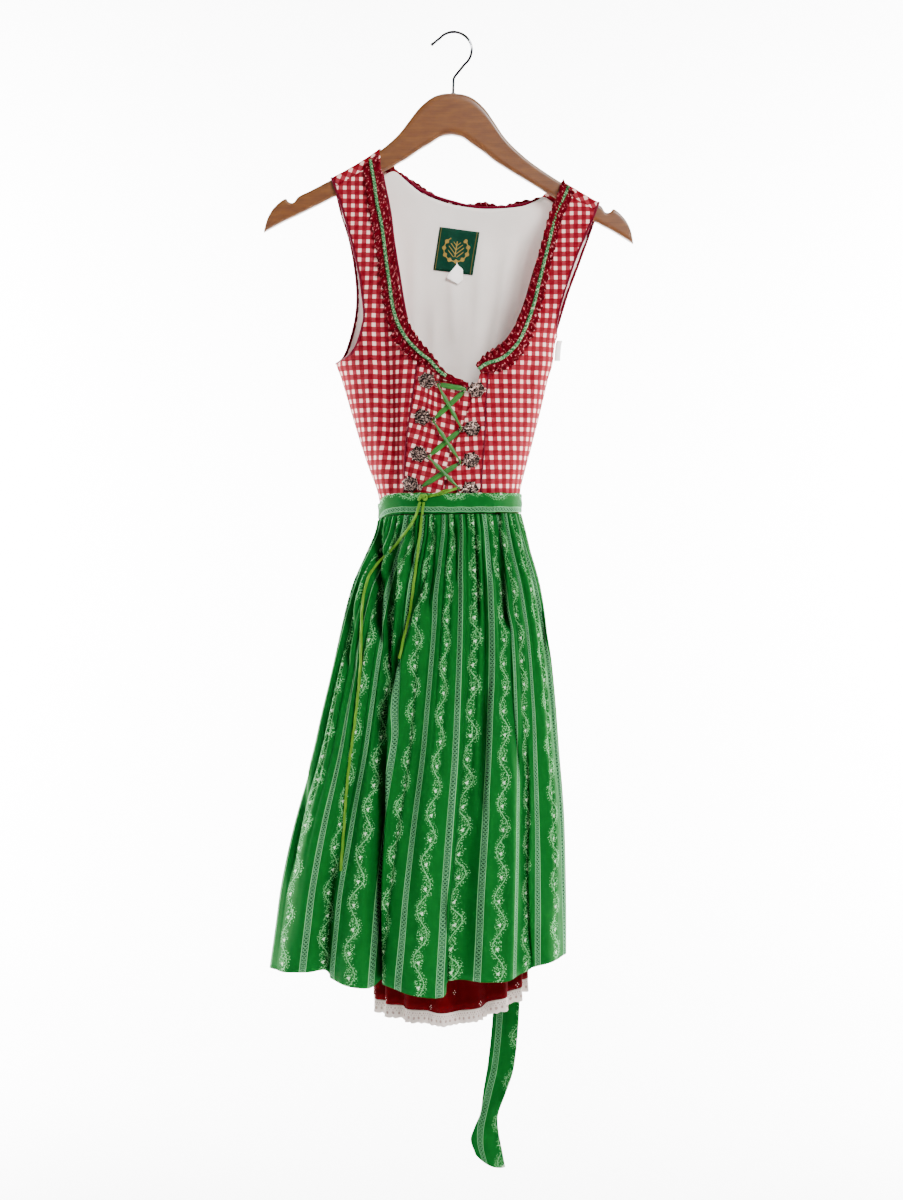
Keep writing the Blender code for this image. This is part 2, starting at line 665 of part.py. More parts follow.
def build_shoulders():
    for name, rows in (("shoulder_left", SHOULDER_LEFT), ("shoulder_right", SHOULDER_RIGHT)):
        def place(share, down, rows=rows):
            run = mix(-FRONT_RUN + SEAM, BACK_RUN - SEAM, down)
            across = mix(column(rows, "outer", run), column(rows, "inner", run), share)
            return over_shoulder(across, -run)
        sheet(name, GINGHAM, 6, 10, place, CLOTH)


def build_lining():
    """The back lining hangs loose inside, with soft upright folds."""
    left, right = edge(BACK_ARM_LEFT), edge(BACK_ARM_RIGHT)
    inset = CLOTH / 2 + CLEAR + THIN_CLOTH / 2 + 1.1
    rows = (0, 0.03, 0.07, 0.12, 0.18, 0.27, 0.38, 0.47, 0.56, 0.7, 0.86, 1)

    def place(share, down):
        top_across = mix(LINING_TOP[0].across, LINING_TOP[-1].across, share)
        fall = rows[round(down * (len(rows) - 1))]
        height = mix(read(LINING_TOP, top_across), WAIST + 6, fall)
        start = angle_at(left(height) + 3.5, height) if height > -386 else 0
        end = angle_at(right(height) - 3.5, height) if height > -355 else pi
        angle = mix(max(start, 0.1), min(end, pi - 0.1), share)
        angle = mix(angle_at(top_across, height), angle, ease(fall * 12))
        loose = ease((-225 - height) / 90) * (1 - 0.75 * ease((-500 - height) / 45))
        soft = loose * (8 + 1.2 * sin(angle * 8 + height / 80))
        return lifted_wall(angle, height, False, -inset - soft, folded=False)

    lining = sheet("lining_back", LINING_WHITE, 12, len(rows) - 1, place, THIN_CLOTH)
    lining.modifiers["cloth thickness"].use_even_offset = False


# Trimming on the bodice

def ruffle_line(rows, count, behind=False):
    """The ruffle's middle as pairs for over_shoulder(), with its half width."""
    pairs = []
    for row in rows:
        along = max(along_of(row.across, row.height), 2.2)
        half = getattr(row, "half_width", BACK_RUFFLE_HALF)
        pairs.append(Vector((row.across, -along if behind else along, half)))
    return smooth_line(pairs, count)


def build_ruffle(name, rows, waves, behind=False):
    """A gathered strip along the neck: its edges wave in and out, its middle lies flat."""
    count = waves * 2
    line = ruffle_line(rows, count + 1, behind)
    base = CLOTH / 2 + CLEAR + THIN_CLOTH / 2 + RUFFLE_WAVE + (-0.1 if behind else 0.5)

    def place(share, down):
        spot = round(down * count)
        here = line[spot]
        ahead = line[min(spot + 1, count)] - line[max(spot - 1, 0)]
        side = Vector((-ahead.y, ahead.x)).normalized()
        reach = (share - 0.5) * 2
        wave = (1 if spot % 2 else -1) * abs(reach) * min(here.z / 8, 1)
        first = here.x + side.x * here.z * reach
        second = here.y + side.y * here.z * reach
        near_crest = ease((over_shoulder(first, second).z + 235) / 30)
        return lifted(over_shoulder, first, second, base + 0.7 * near_crest + RUFFLE_WAVE * wave)

    sheet(name, RUFFLE_RED, 2, count, place, THIN_CLOTH)


def away(point):
    """Outward from the dress's middle, level with the point; upward over a shoulder."""
    return Vector((0, point.y, 12 if point.z > -185 else 0.01))


def build_braid(name, rows, count):
    top_of_ruffle = CLOTH / 2 + CLEAR + THIN_CLOTH + RUFFLE_WAVE + 0.5
    out = top_of_ruffle + CLEAR + 0.6 + BRAID_HEIGHT / 2
    points = []
    for pair in ruffle_line(rows, count + 1):
        near_crest = ease((over_shoulder(pair.x, pair.y).z + 235) / 30)
        points.append(lifted(over_shoulder, pair.x, pair.y, out + 0.9 * near_crest))
    place = along_line(points, BRAID_WIDTH / 2, BRAID_HEIGHT / 2, away, flat=True)
    tube(name, BRAID_GREEN, 4, count, place)


def piping_on(name, points, radius, outward=FORWARD, closed=False):
    line = points + points[:1] if closed else points
    place = along_line(line, radius, radius, lambda point: outward, flat=True)
    tube(name, PIPING_RED, 4, len(line) - 1, place, closed)


def beside(edge_points, hole, distance, closed=False):
    """Points of an edge moved off it by this distance, along the cloth, towards a hole."""
    last = len(edge_points) - 1
    moved = []
    for spot, (point, normal) in enumerate(edge_points):
        before = edge_points[spot - 1 if closed else max(spot - 1, 0)][0]
        after = edge_points[(spot + 1) % (last + 1) if closed else min(spot + 1, last)][0]
        side = (after - before).cross(normal).normalized()
        if side.dot(hole - point) < 0:
            side = -side
        moved.append(point + side * distance)
    return moved


def edge_point(across, height, is_front, out=0.0):
    """A point of the wall's edge and the wall's level normal there."""
    angle = angle_at(across, height)
    here = lifted_wall(angle, height, is_front, out)
    return here, lifted_wall(angle, height, is_front, out + 1) - here


def build_piping():
    """Piping bound round the neck's edge and laid along the princess seams."""
    radius = PIPING * 0.35
    for name, rows, low in (("neck_piping_left", NECK_LEFT, -340),
                            ("neck_piping_right", NECK_RIGHT, -322)):
        high = rows[1].height - 2
        heights = [mix(high, low, step / 14) for step in range(15)]
        edges = [edge_point(read(rows, height), height, True, -1.3) for height in heights]
        piping_on(name, beside(edges, NECK_MIDDLE, radius + SEAM + 0.3), radius)

    fine = smooth_line([Vector((row.across, row.height)) for row in BACK_NECK], 20)
    edges = [edge_point(spot.x, spot.y, False, -1.3) for spot in fine]
    piping_on("neck_piping_back", beside(edges, ABOVE_BACK_NECK, radius + SEAM + 1), radius)

    for name, rows, low in (("princess_piping_left", NECK_LEFT, -392),
                            ("princess_piping_right", NECK_RIGHT, -400)):
        out = CLOTH / 2 + CLEAR + PIPING * 0.3 + 0.2
        heights = [low] + [level for level in FRONT_LEVELS if level > WAIST] + [-537]
        points = [edge_point(read(rows, height), height, True, out)[0] for height in heights]
        piping_on(name, points, PIPING * 0.3)


def build_armholes():
    """The piping round each armhole, which the hanger's arm passes through."""
    radius = PIPING * 0.4
    for side, ahead_rows, behind_rows, shoulder, bottom in (
        ("left", ARM_LEFT, BACK_ARM_LEFT, SHOULDER_LEFT, -386),
        ("right", ARM_RIGHT, BACK_ARM_RIGHT, SHOULDER_RIGHT, -355),
    ):
        front_top, back_top = ARM_TOP[side]
        low = Vector((column(BODY, side, bottom), 0, bottom))
        edges = [edge_point(row.across, row.height, True) for row in ahead_rows
                 if bottom + 3 < row.height < front_top]
        edges.append((low, Vector((low.x, 0, 0)).normalized()))
        edges += [edge_point(row.across, row.height, False) for row in behind_rows[::-1]
                  if bottom + 3 < row.height < back_top]
        for run in SHOULDER_RUNS:
            across = column(shoulder, "outer", run)
            over = lifted(over_shoulder, across, -run, SEAM)
            edges.append((over, lifted(over_shoulder, across, -run, 1) - over))
        points = beside(edges, ARM_HOLE[side], radius + SEAM + 1, closed=True)
        piping_on(f"armhole_piping_{side}", points, radius, ACROSS, closed=True)


# Hooks, lacing, label

def build_hooks():
    for side, hooks, rings in (("left", HOOKS_LEFT, RINGS_LEFT), ("right", HOOKS_RIGHT, RINGS_RIGHT)):
        for number, (hook, ring) in enumerate(zip(hooks, rings), start=1):
            base = lifted(front, hook.across, hook.height, CLOTH / 2 + CLEAR) * MM
            top = lifted(front, hook.across, hook.height, CLOTH / 2 + CLEAR + 1) * MM
            outward = (top - base).normalized()
            turn = Vector((0, 0, 1)).rotation_difference(outward).to_matrix().to_4x4()
            mesh = bmesh.new()
            bmesh.ops.create_cone(
                mesh, cap_ends=True, segments=10, radius1=ROSETTE * MM, radius2=ROSETTE * 0.62 * MM,
                depth=2.6 * MM,
            )
            for point in mesh.verts:
                point.co.z += 1.3 * MM
                point.co = turn @ point.co + base
            rosette = finished(mesh, f"hook_{side}_{number}", OLD_SILVER)
            centre = lifted(front, ring.across, ring.height, RING_OUT) * MM
            bpy.ops.mesh.primitive_torus_add(
                major_radius=RING * MM, minor_radius=0.75 * MM, major_segments=10,
                minor_segments=4, location=centre,
                rotation=Vector((0, 0, 1)).rotation_difference(outward).to_euler(),
            )
            ring_cutter = bpy.context.object
            ring_cutter.name = f"ring_{side}_{number}"
            ring_cutter.hide_render = True
            ring_cutter.display_type = "WIRE"
            arm = add_arm(base, centre, outward, f"arm_{side}_{number}")
            for part in (arm, ring_cutter):
                join = rosette.modifiers.new("joined", "BOOLEAN")
                join.operation = "UNION"
                join.object = part


def add_arm(base, centre, outward, name):
    """The short bar between a rosette and its ring, as a hidden guide for the union."""
    start = base + outward * 1.4 * MM
    towards = (centre - start)
    end = start + towards * (1 - (RING - 0.2) * MM / towards.length)
    mesh = bmesh.new()
    bmesh.ops.create_cube(mesh, size=1)
    side = towards.cross(outward).normalized()
    for point in mesh.verts:
        along = start.lerp(end, point.co.x + 0.5)
        point.co = along + side * (point.co.y * 2.2 * MM) + outward * (point.co.z * 1.4 * MM)
    arm = finished(mesh, name, OLD_SILVER)
    arm.hide_render = True
    arm.display_type = "WIRE"
    return arm


def build_lacing():
    rings = {"left": RINGS_LEFT, "right": RINGS_RIGHT}
    for number, strand in enumerate(STRANDS, start=1):
        start = rings[strand.start_side][strand.start_row]
        end = rings[strand.end_side][strand.end_row]
        points = []
        for share in (0, 0.2, 0.4, 0.6, 0.8, 1):
            across = mix(start.across, end.across, share)
            height = mix(start.height, end.height, share)
            out = mix(strand.start_out, strand.end_out, share)
            points.append(lifted(front, across, height, out))
        ribbon(f"lacing_{number}", RIBBON_GREEN, points, LACE_WIDTH)


def ribbon(name, look, points, width):
    """A flat ribbon, narrow at both ends where it is gathered through a ring."""
    steps = len(points) - 1

    def half_width(share):
        return width / 2 * mix(0.45, 1, ease(4 * share) * ease(4 * (1 - share)))

    place = along_line(points, half_width, 0.45, lambda point: Vector((0, -1, 0)), flat=True)
    tube(name, look, 4, steps, place)


def band_face(across, height):
    """The waistband's outer face, for what lies on it."""
    return lifted(front, across, height, BAND_OUT + BAND_THICKNESS / 2)


def build_knot():
    centre = band_face(KNOT.across, KNOT.height) + Vector((0, -3.4, 0))
    mesh = bmesh.new()
    bmesh.ops.create_uvsphere(mesh, u_segments=10, v_segments=6, radius=1)
    for point in mesh.verts:
        point.co = Vector((point.co.x * 5.5, point.co.y * 2.9, point.co.z * 4)) * MM + centre * MM
    finished(mesh, "lacing_knot", RIBBON_GREEN)

    ring = RINGS_RIGHT[3]
    points = []
    for share in (0, 0.25, 0.5, 0.75, 1):
        across = mix(ring.across - 3.6, KNOT.across + 6.2, share)
        height = mix(ring.height + 1, KNOT.height + 1, share)
        points.append(lifted(front, across, height, BAND_OUT + BAND_THICKNESS / 2 + 1.4))
    ribbon("lacing_to_knot", FRAY_GREEN, points, 3.2)


def build_free_ends():
    for name, route in (("lacing_end_long", END_LONG), ("lacing_end_short", END_SHORT)):
        points = [apron_face(row.across, row.height) for row in route]
        count = END_POINTS if route is END_LONG else END_POINTS // 2
        line = smooth_line(points, count)
        data = bpy.data.curves.new(name, "CURVE")
        data.dimensions = "3D"
        spline = data.splines.new("POLY")
        spline.points.add(count - 1)
        for spot, point in zip(spline.points, line):
            spot.co = (*(point * MM), 1)
        data.bevel_depth = CORD_DIAMETER / 2 * MM
        data.bevel_resolution = 2
        data.use_fill_caps = True
        data.materials.append(material(name, FRAY_GREEN))
        bpy.context.collection.objects.link(bpy.data.objects.new(name, data))


def build_labels():
    def lining_face(across, height, out=0.0):
        angle = angle_at(across, height)
        loose = 8 * ease((-225 - height) / 90)
        inset = CLOTH / 2 + CLEAR * 2 + THIN_CLOTH + 2.4 + loose + out
        return lifted_wall(angle, height, False, -inset, folded=False)

    def label(share, down):
        across = mix(mix(-18, 29, share), mix(-26, 21, share), down)
        height = mix(mix(-221, -227, share), mix(-271, -277, share), down)
        return lining_face(across, height)

    def size_tab(share, down):
        across = mix(mix(-3, 11, share), mix(-11, 7, share), down)
        height = mix(mix(-258, -263, share), mix(-276, -285, share), down)
        return lining_face(across, height, 1.0)

    def care_label(share, down):
        height = mix(-358, -382, down)
        side = column(BODY, "right", height) + CLOTH / 2 + CLEAR + 0.8
        return Vector((side + mix(0, 6.5, share), mix(1, -5, down), height))

    sheet("label", LABEL_GREEN, 4, 4, label, 0.8)
    sheet("size_tab", TAG_WHITE, 2, 2, size_tab, 0.6)
    sheet("care_label", TAG_WHITE, 2, 3, care_label, 0.6)


# Apron

def band_point(angle, height, out):
    """A point over the waist, which the folds above have left smooth."""
    return lifted_wall(angle, height, True, out, folded=False)


def build_band():
    def place(share, down):
        angle = mix(BAND_START, BAND_END, share)
        across = wall(angle, WAIST, True).x
        height = mix(read(BAND_TOP, across), read(BAND_BOTTOM, across), down)
        return band_point(angle, height, band_out(share))

    sheet("apron_waistband", APRON_GREEN, 20, 2, place, BAND_THICKNESS)


def band_out(share):
    """The band's distance from the bodice: close at the sides, off it over the hooks."""
    return mix(2.2, BAND_OUT, ease(share * 6) * ease((1 - share) * 6))


def hem_line():
    """The hem in plan with its height, evenly spaced, one point for each side of a gather."""
    points = [Vector((row.across, -row.forward, row.height)) for row in APRON_HEM]
    return smooth_line(points, APRON_GATHERS * 2 + 1)


def apron_point(share, down, hem, gathered=True):
    """The apron skirt: gathered at the band, opening into the hem's large folds."""
    angle = mix(BAND_START, BAND_END, share)
    band = wall(angle, WAIST, True)
    level = read(BAND_BOTTOM, min(max(band.x, -86), 74)) - CLEAR - BAND_THICKNESS / 2
    top = band_point(angle, level, band_out(share))
    spot = share * (len(hem) - 1)
    low = hem[int(spot)].lerp(hem[min(int(spot) + 1, len(hem) - 1)], spot - int(spot))
    height = mix(level, low.z, down)
    opened = ease(down * 1.15 + 0.06) * 0.55 + down * 0.45
    band_left, band_right = APRON[0].left, APRON[0].right
    hem_left, hem_right = APRON[-1].left, APRON[-1].right
    near = (top.x - band_left) / (band_right - band_left)
    far = (low.x - hem_left) / (hem_right - hem_left)
    left, right = column(APRON, "left", height), column(APRON, "right", height)
    if down == 0:
        left, right = band_left, band_right
    across = mix(left, right, mix(near, far, opened))
    depth = mix(top.y, low.y, down ** 0.8)
    point = Vector((across, depth, height))
    if gathered:
        side = round(spot) % 2 * 2 - 1
        normal = Vector((-cos(angle), -sin(angle) * 1.6, 0)).normalized()
        at_end = ease(share * 8) * ease((1 - share) * 8)
        point += normal * (GATHER_DEPTH * side * gather_fade(down) * at_end)
    return point


def gather_fade(down):
    """How deep the gathers still are, as a share of their depth at the band."""
    return (1 - ease(down * 3.2)) * 0.85 + 0.15 * (1 - down)


def build_apron():
    hem = hem_line()
    rows = (0, 0.04, 0.1, 0.2, 0.34, 0.52, 0.76, 1)

    def place(share, down):
        return apron_point(share, rows[round(down * (len(rows) - 1))], hem)

    sheet("apron_skirt", APRON_GREEN, APRON_GATHERS * 2, len(rows) - 1, place, THIN_CLOTH)


def apron_face(across, height):
    """Where a cord lies on the waistband or the apron, at this place seen from the front."""
    off = CORD_DIAMETER / 2 + CLEAR + 0.5
    if height > -564:
        return band_face(across, height) + Vector((0, -off, 0))
    hem = hem_line()
    forward = 0.0
    fade = 0.0
    for step in range(161):
        share = 0.02 + 0.62 * step / 160
        top, low = apron_point(share, 0, hem, False), apron_point(share, 1, hem, False)
        down = max((top.z - height) / (top.z - low.z), 0)
        point = apron_point(share, down, hem, False)
        if abs(point.x - across) < 4 and point.y < forward:
            forward = point.y
            fade = gather_fade(down)
    return Vector((across, forward - off - GATHER_DEPTH * fade - 0.5, height))


def strip_face(rows, share, down):
    height = mix(rows[0].height, rows[-1].height, down)
    turn = radians(column(rows, "turn", height))
    side = (share - 0.5) * 2 * column(rows, "half_width", height)
    across = column(rows, "across", height) + side * cos(turn)
    depth = column(rows, "depth", height) + side * sin(turn)
    slant = side * 0.5 if rows is TAIL else side * 0.2
    return Vector((across, depth, height + slant * ease(down * 12 - 11)))


def build_ties():
    """The ties run from the band's ends round the back to a knot, with two tails."""
    out = CLOTH / 2 + CLEAR + TIE_THICKNESS / 2 + 0.8
    knot_angle = angle_at(KNOT_ACROSS, KNOT_HEIGHT)
    gap = 0.004
    for name, start, end in (("apron_tie_left", -BAND_START + 0.02, knot_angle - gap),
                             ("apron_tie_right", 2 * pi - BAND_END - 0.02, knot_angle + gap)):
        def place(share, down, start=start, end=end):
            angle = mix(start, end, share)
            is_front = angle < 0 or angle > pi
            turn = -angle if angle < 0 else 2 * pi - angle if angle > pi else angle
            level = (wall(turn, WAIST, is_front).x - BAND_TOP[0].across) / WAIST_WIDTH
            height = mix(mix(-548, -538, level), mix(-565, -557, level), down)
            return lifted_wall(turn, height, is_front, out, folded=False)
        sheet(name, APRON_GREEN, 22, 1, place, TIE_THICKNESS)

    size = Vector((12, 5.5, 13))
    face = lifted_wall(knot_angle, KNOT_HEIGHT, False, out + TIE_THICKNESS / 2, folded=False)
    outward = lifted_wall(knot_angle, KNOT_HEIGHT, False, 100, folded=False) - face
    outward.normalize()
    over = Vector((outward.y, -outward.x, 0))
    centre = face + outward * (size.y + CLEAR + 0.4)
    mesh = bmesh.new()
    bmesh.ops.create_uvsphere(mesh, u_segments=10, v_segments=6, radius=1)
    for point in mesh.verts:
        turned = over * (point.co.x * size.x) + outward * (point.co.y * size.y)
        point.co = (centre + turned + Vector((0, 0, point.co.z * size.z))) * MM
    finished(mesh, "apron_tie_knot", APRON_GREEN)
    for name, rows in (("apron_tail_long", TAIL), ("apron_tail_short", SHORT_TAIL)):
        count = 16 if rows is TAIL else 8
        sheet(name, APRON_GREEN, 2, count, lambda share, down: strip_face(rows, share, down),
              TIE_THICKNESS)


# Skirt

def skirt_point(share, down, drop=0.0):
    """The skirt's tube: share runs round it from the left side by the front."""
    turn = 2 * pi * share
    hem = read(SKIRT_HEM, 360 * share % 360)
    height = mix(WAIST - SEAM * 2, hem, down) - drop
    left, right = column(SKIRT, "left", height), column(SKIRT, "right", height)
    depth = column(SKIRT, "front" if turn < pi else "back", height)
    fold = 7.5 * ease(down * 1.5) + 0.4 * ease(down * 30)
    inward = fold * (1 + sin(SKIRT_FOLDS * turn + 1.3 * sin(2 * turn)))
    across = (left + right) / 2 - ((right - left) / 2 - inward) * cos(turn)
    return Vector((across, -(depth - inward) * sin(turn), height))


def build_skirt():
    """The gathered skirt, and the lace that carries on below its hem."""
    sheet("skirt", SKIRT_RED, SKIRT_COLUMNS, 5, skirt_point, THIN_CLOTH, ring=True)

    def lace(share, down):
        scallop = 1.6 * (round(share * SKIRT_COLUMNS) % 2) * down
        return skirt_point(share, 1, SEAM * 3 + (LACE_HEIGHT - scallop) * down)

    sheet("hem_lace", LACE_WHITE, SKIRT_COLUMNS, 1, lace, THIN_CLOTH, ring=True)


# Hanger

def tilted(across, depth, height):
    """A point of the hanger's own frame, turned about where the hook rests."""
    return Vector((
        across * cos(HANGER_TILT) + height * sin(HANGER_TILT),
        depth,
        height * cos(HANGER_TILT) - across * sin(HANGER_TILT),
    ))


def build_hanger():
    reaches = [-row.reach for row in HANGER[:0:-1]] + [row.reach for row in HANGER]

    def place(share, down):
        reach = reaches[round(share * (len(reaches) - 1))]
        top, bottom = column(HANGER, "top", abs(reach)), column(HANGER, "bottom", abs(reach))
        return tilted(reach, 0, mix(top, bottom, down))

    body = sheet("hanger_body", WOOD, len(reaches) - 1, 1, place, HANGER_THICKNESS)
    body.modifiers["cloth thickness"].use_even_offset = False
    rounding = body.modifiers.new("rounded edges", "BEVEL")
    rounding.width = HANGER_EDGE * MM
    rounding.segments = 1
    rounding.limit_method = "ANGLE"
    rounding.angle_limit = radians(60)

    route = [Vector((0, 0, -70.1)), Vector((0, 0, -60)), Vector((0.5, 0, -52)),
             Vector((6, 0, -44))]
    centre = Vector((-1, 0, HOOK_WIRE / 2 - HOOK_RADIUS))
    for degrees in range(-50, 171, 20):
        turn = radians(degrees)
        route.append(centre + Vector((cos(turn), 0, sin(turn))) * HOOK_RADIUS)
    route.append(Vector((-25, 0, -13)))
    route.append(Vector((-28.5, 0, -9.5)))
    line = smooth_line([tilted(point.x, 0, point.z) for point in route], 29)
    place = along_line(line, HOOK_WIRE / 2, HOOK_WIRE / 2, lambda point: Vector((0, -1, 0)))
    tube("hanger_hook", CHROME, 6, 28, place)


def main():
    for old in list(bpy.data.objects):
        bpy.data.objects.remove(old)
    build_hanger()
    build_bodice()
    build_shoulders()
    build_lining()
    build_ruffle("ruffle_left", RUFFLE_LEFT, 36)
    build_ruffle("ruffle_right", RUFFLE_RIGHT, 30)
    build_ruffle("ruffle_back", BACK_RUFFLE, 26, behind=True)
    build_braid("braid_left", RUFFLE_LEFT, 26)
    build_braid("braid_right", RUFFLE_RIGHT[:-1], 24)
    build_piping()
    build_armholes()
    build_hooks()
    build_lacing()
    build_knot()
    build_free_ends()
    build_labels()
    build_band()
    build_apron()
    build_ties()
    build_skirt()


main()
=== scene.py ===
"""A dirndl dress with its apron on a wooden hanger: every visible surface, made over the frame.

The frame is in metres, with the hook's rest at the origin, +Z up and the dress facing -Y. Shape
tables here are in millimetres, as a pattern cutter would write them, and MM turns them to metres.
"""
from bisect import bisect_right
from collections import namedtuple
from functools import lru_cache
from math import acos, cos, hypot, pi, radians, sin

import bmesh
import bpy
import numpy as np
from mathutils import Matrix, Vector, noise


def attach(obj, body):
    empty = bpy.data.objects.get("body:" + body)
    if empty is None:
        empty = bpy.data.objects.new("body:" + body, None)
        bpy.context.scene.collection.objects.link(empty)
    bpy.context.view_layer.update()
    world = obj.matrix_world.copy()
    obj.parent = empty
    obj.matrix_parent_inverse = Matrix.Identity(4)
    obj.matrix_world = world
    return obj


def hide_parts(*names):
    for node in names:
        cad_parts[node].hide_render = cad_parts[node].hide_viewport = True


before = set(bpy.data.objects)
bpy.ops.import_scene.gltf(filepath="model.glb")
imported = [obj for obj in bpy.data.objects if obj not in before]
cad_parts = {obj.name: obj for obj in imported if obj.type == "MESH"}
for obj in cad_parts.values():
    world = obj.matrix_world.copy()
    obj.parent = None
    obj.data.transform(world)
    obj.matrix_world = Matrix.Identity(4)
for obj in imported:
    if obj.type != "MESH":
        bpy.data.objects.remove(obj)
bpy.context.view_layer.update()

bl_info = {
    "name": "Dirndl on a hanger",
    "version": (1, 0, 0),
    "blender": (4, 5, 0),
    "location": "View3D > Sidebar > Dirndl",
    "description": "Builds a laced gingham dirndl with a gathered apron on a wooden hanger",
    "category": "Object",
}

MM = 0.001
CLOTH = 1.2
THIN_CLOTH = 1.0
CLEAR = 0.3
HANGER_TILT = radians(1.8)
CREST_CLEAR = 1.9      # from the hanger's top edge to the middle of the cloth over it
CREST_HALF = 7.9       # half depth of the cloth's fold over the hanger
CREST_DROP = 3.5       # from that fold's top to where the cloth hangs straight
SEAM = 0.1             # half the space between two bodice panels
SIDE_SEAM = 0.002      # the same at the side seams, as an angle
SHOULDER_SLOPE = 30.0  # how far under a shoulder the cloth takes the dress's full depth
WAIST = -549.0
WAIST_MIDDLE = -6.0
WAIST_WIDTH = 162.0
KNOT_ACROSS = 40.0
KNOT_HEIGHT = -553.0
BAND_OUT = 5.4
BAND_AT_SIDE = 2.2
BAND_FOOT = -564.0
BAND_THICKNESS = 1.6
TIE_THICKNESS = 1.2
TIE_OUT = 1.5 + CLEAR + TIE_THICKNESS / 2
LACE_HEIGHT = 15.0
LACE_WIDTH = 6.0       # the flat lacing ribbon
RING_OUT = 3.6
SHOULDER_FALL = 170.0  # the shoulders' mean height below the hook's rest
LINING_IN = 3.4
NECK_PIPING_OFF = 0.9  # from the cloth's edge to the piping's middle
RUFFLE_OUT = 3.5
BACK_RUFFLE_OUT = 2.9
BRAID_OUT = 5.2
LIES_ON = 1.7          # half a lacing end's depth, and room under it
LABEL_MIDDLE = 23.5    # half the woven label's width, and its wreath's middle from the top
WREATH = 14.5
WELD = 0.01            # points this close become one
RING_WELD = 0.02

Section = namedtuple("Section", "height left right front back")
Edge = namedtuple("Edge", "height across")
Reach = namedtuple("Reach", "reach top bottom")
Trough = namedtuple("Trough", "height across depth half_width")
Way = namedtuple("Way", "across height half_width")
Hem = namedtuple("Hem", "across forward height")
Shoulder = namedtuple("Shoulder", "run outer inner")
Girth = namedtuple("Girth", "height left right")
Place = namedtuple("Place", "across height")
Strip = namedtuple("Strip", "height across depth half_width turn")
Crease = namedtuple("Crease", "across height to_across to_height depth half_width")
Strand = namedtuple("Strand", "start_side start_row end_side end_row start_out end_out")


def table(kind, *rows):
    """Rows of one kind, as the functions below read them."""
    return tuple(kind(*row) for row in rows)


# The dress's outline: how far each height reaches left, right, forward and back
BODY = table(
    Section, (-100, -300, 320, 9.5, 9.5), (-150, -300, 320, 10, 10), (-175, -290, 312, 12, 13),
    (-200, -262, 292, 18, 24), (-240, -215, 238, 33, 35), (-290, -176, 178, 47, 42),
    (-330, -155, 137, 56, 46), (-355, -146, 118, 60, 48), (-386, -138, 113, 63, 50),
    (-402, -132, 108, 64, 51), (-436, -122, 100, 64, 52), (-476, -110, 90, 64, 54),
    (-506, -100, 82, 64, 55), (-530, -91, 76, 65, 57), (-549, -87, 75, 66, 58),
    (-580, -87, 76, 68, 60),
)
SKIRT = table(
    Section, (-540, -88, 77, 65, 57), (-549, -87, 75, 66, 58), (-570, -85.5, 74, 65, 57),
    (-620, -88, 79, 63, 60), (-830, -95, 85, 58, 62), (-1150, -96, 86, 56, 60),
)
# The deep fold down the left front, beside the princess seam
FRONT_FOLD = table(
    Trough, (-300, -88, 0, 9), (-345, -83, 5, 10), (-400, -78, 13, 11), (-456, -74, 17, 10),
    (-500, -69, 14, 8), (-530, -67, 6, 8), (-546, -66, 0, 8), (-580, -66, 0, 8),
)
# Softer folds where the back hangs loose
BACK_FOLDS = (
    (Trough(-270, -82, 0, 18), Trough(-400, -74, 7, 16), Trough(-500, -64, 4, 15),
     Trough(-535, -60, 0, 15)),
    (Trough(-250, 12, 0, 18), Trough(-420, 4, 6, 16), Trough(-500, -3, 4, 15),
     Trough(-535, -5, 0, 15)),
    (Trough(-290, 84, 0, 18), Trough(-420, 68, 7, 16), Trough(-500, 56, 4, 15),
     Trough(-535, 50, 0, 15)),
)

# Edges of the bodice panels, each from the shoulder down
NECK_LEFT = table(
    Edge, (-144, -87), (-165, -85), (-211, -76), (-250, -71), (-287, -65), (-318, -60),
    (-340, -55.5), (-355, -49.5), (-367, -45.5), (-380, -43.5), (-400, -44.5), (-433, -49),
    (-479, -55), (-510, -57), (-560, -58),
)
NECK_RIGHT = table(
    Edge, (-160, 124), (-177, 124), (-202, 119), (-236, 110), (-276, 94), (-299, 87), (-322, 80),
    (-346, 68), (-363, 57), (-373, 46), (-380, 40), (-399, 38), (-433, 35), (-479, 33), (-535, 29),
    (-560, 28.5),
)
ARM_LEFT = table(
    Edge, (-160, -148), (-170, -142), (-186, -136), (-211, -128), (-235, -121), (-279, -110),
    (-305, -106), (-333, -103), (-350, -106), (-363, -110), (-373, -115), (-380, -122),
    (-386, -137.9),
)
ARM_RIGHT = table(
    Edge, (-190, 169), (-198, 167), (-213, 160), (-239, 149), (-260, 140), (-288, 130),
    (-321, 120), (-338, 116.8), (-348, 116.6), (-355, 117.9),
)
BACK_ARM_LEFT = table(
    Edge, (-160, -145), (-180, -139), (-206, -132), (-235, -123), (-266, -117), (-299, -114),
    (-329, -116), (-361, -124), (-378, -131), (-386, -137.9),
)
BACK_ARM_RIGHT = table(
    Edge, (-190, 170), (-215, 162), (-240, 153), (-270, 142), (-300, 131), (-330, 122),
    (-346, 117.8), (-355, 117.9),
)
BACK_NECK_LEFT = table(
    Edge, (-136, -88), (-152, -73), (-163, -64), (-174, -51), (-182, -40), (-200, -38),
    (-260, -37), (-350, -35), (-450, -34), (-560, -36),
)
BACK_NECK_RIGHT = table(
    Edge, (-158, 128), (-165, 125), (-174, 120), (-185, 108), (-192, 93), (-197, 77), (-260, 66),
    (-350, 46), (-450, 30), (-560, 22),
)
CENTRE_LINE = table(
    Edge, (-400, 19), (-410, 18), (-433, 12), (-467, 3), (-499, -6), (-524, -11), (-560, -17),
)
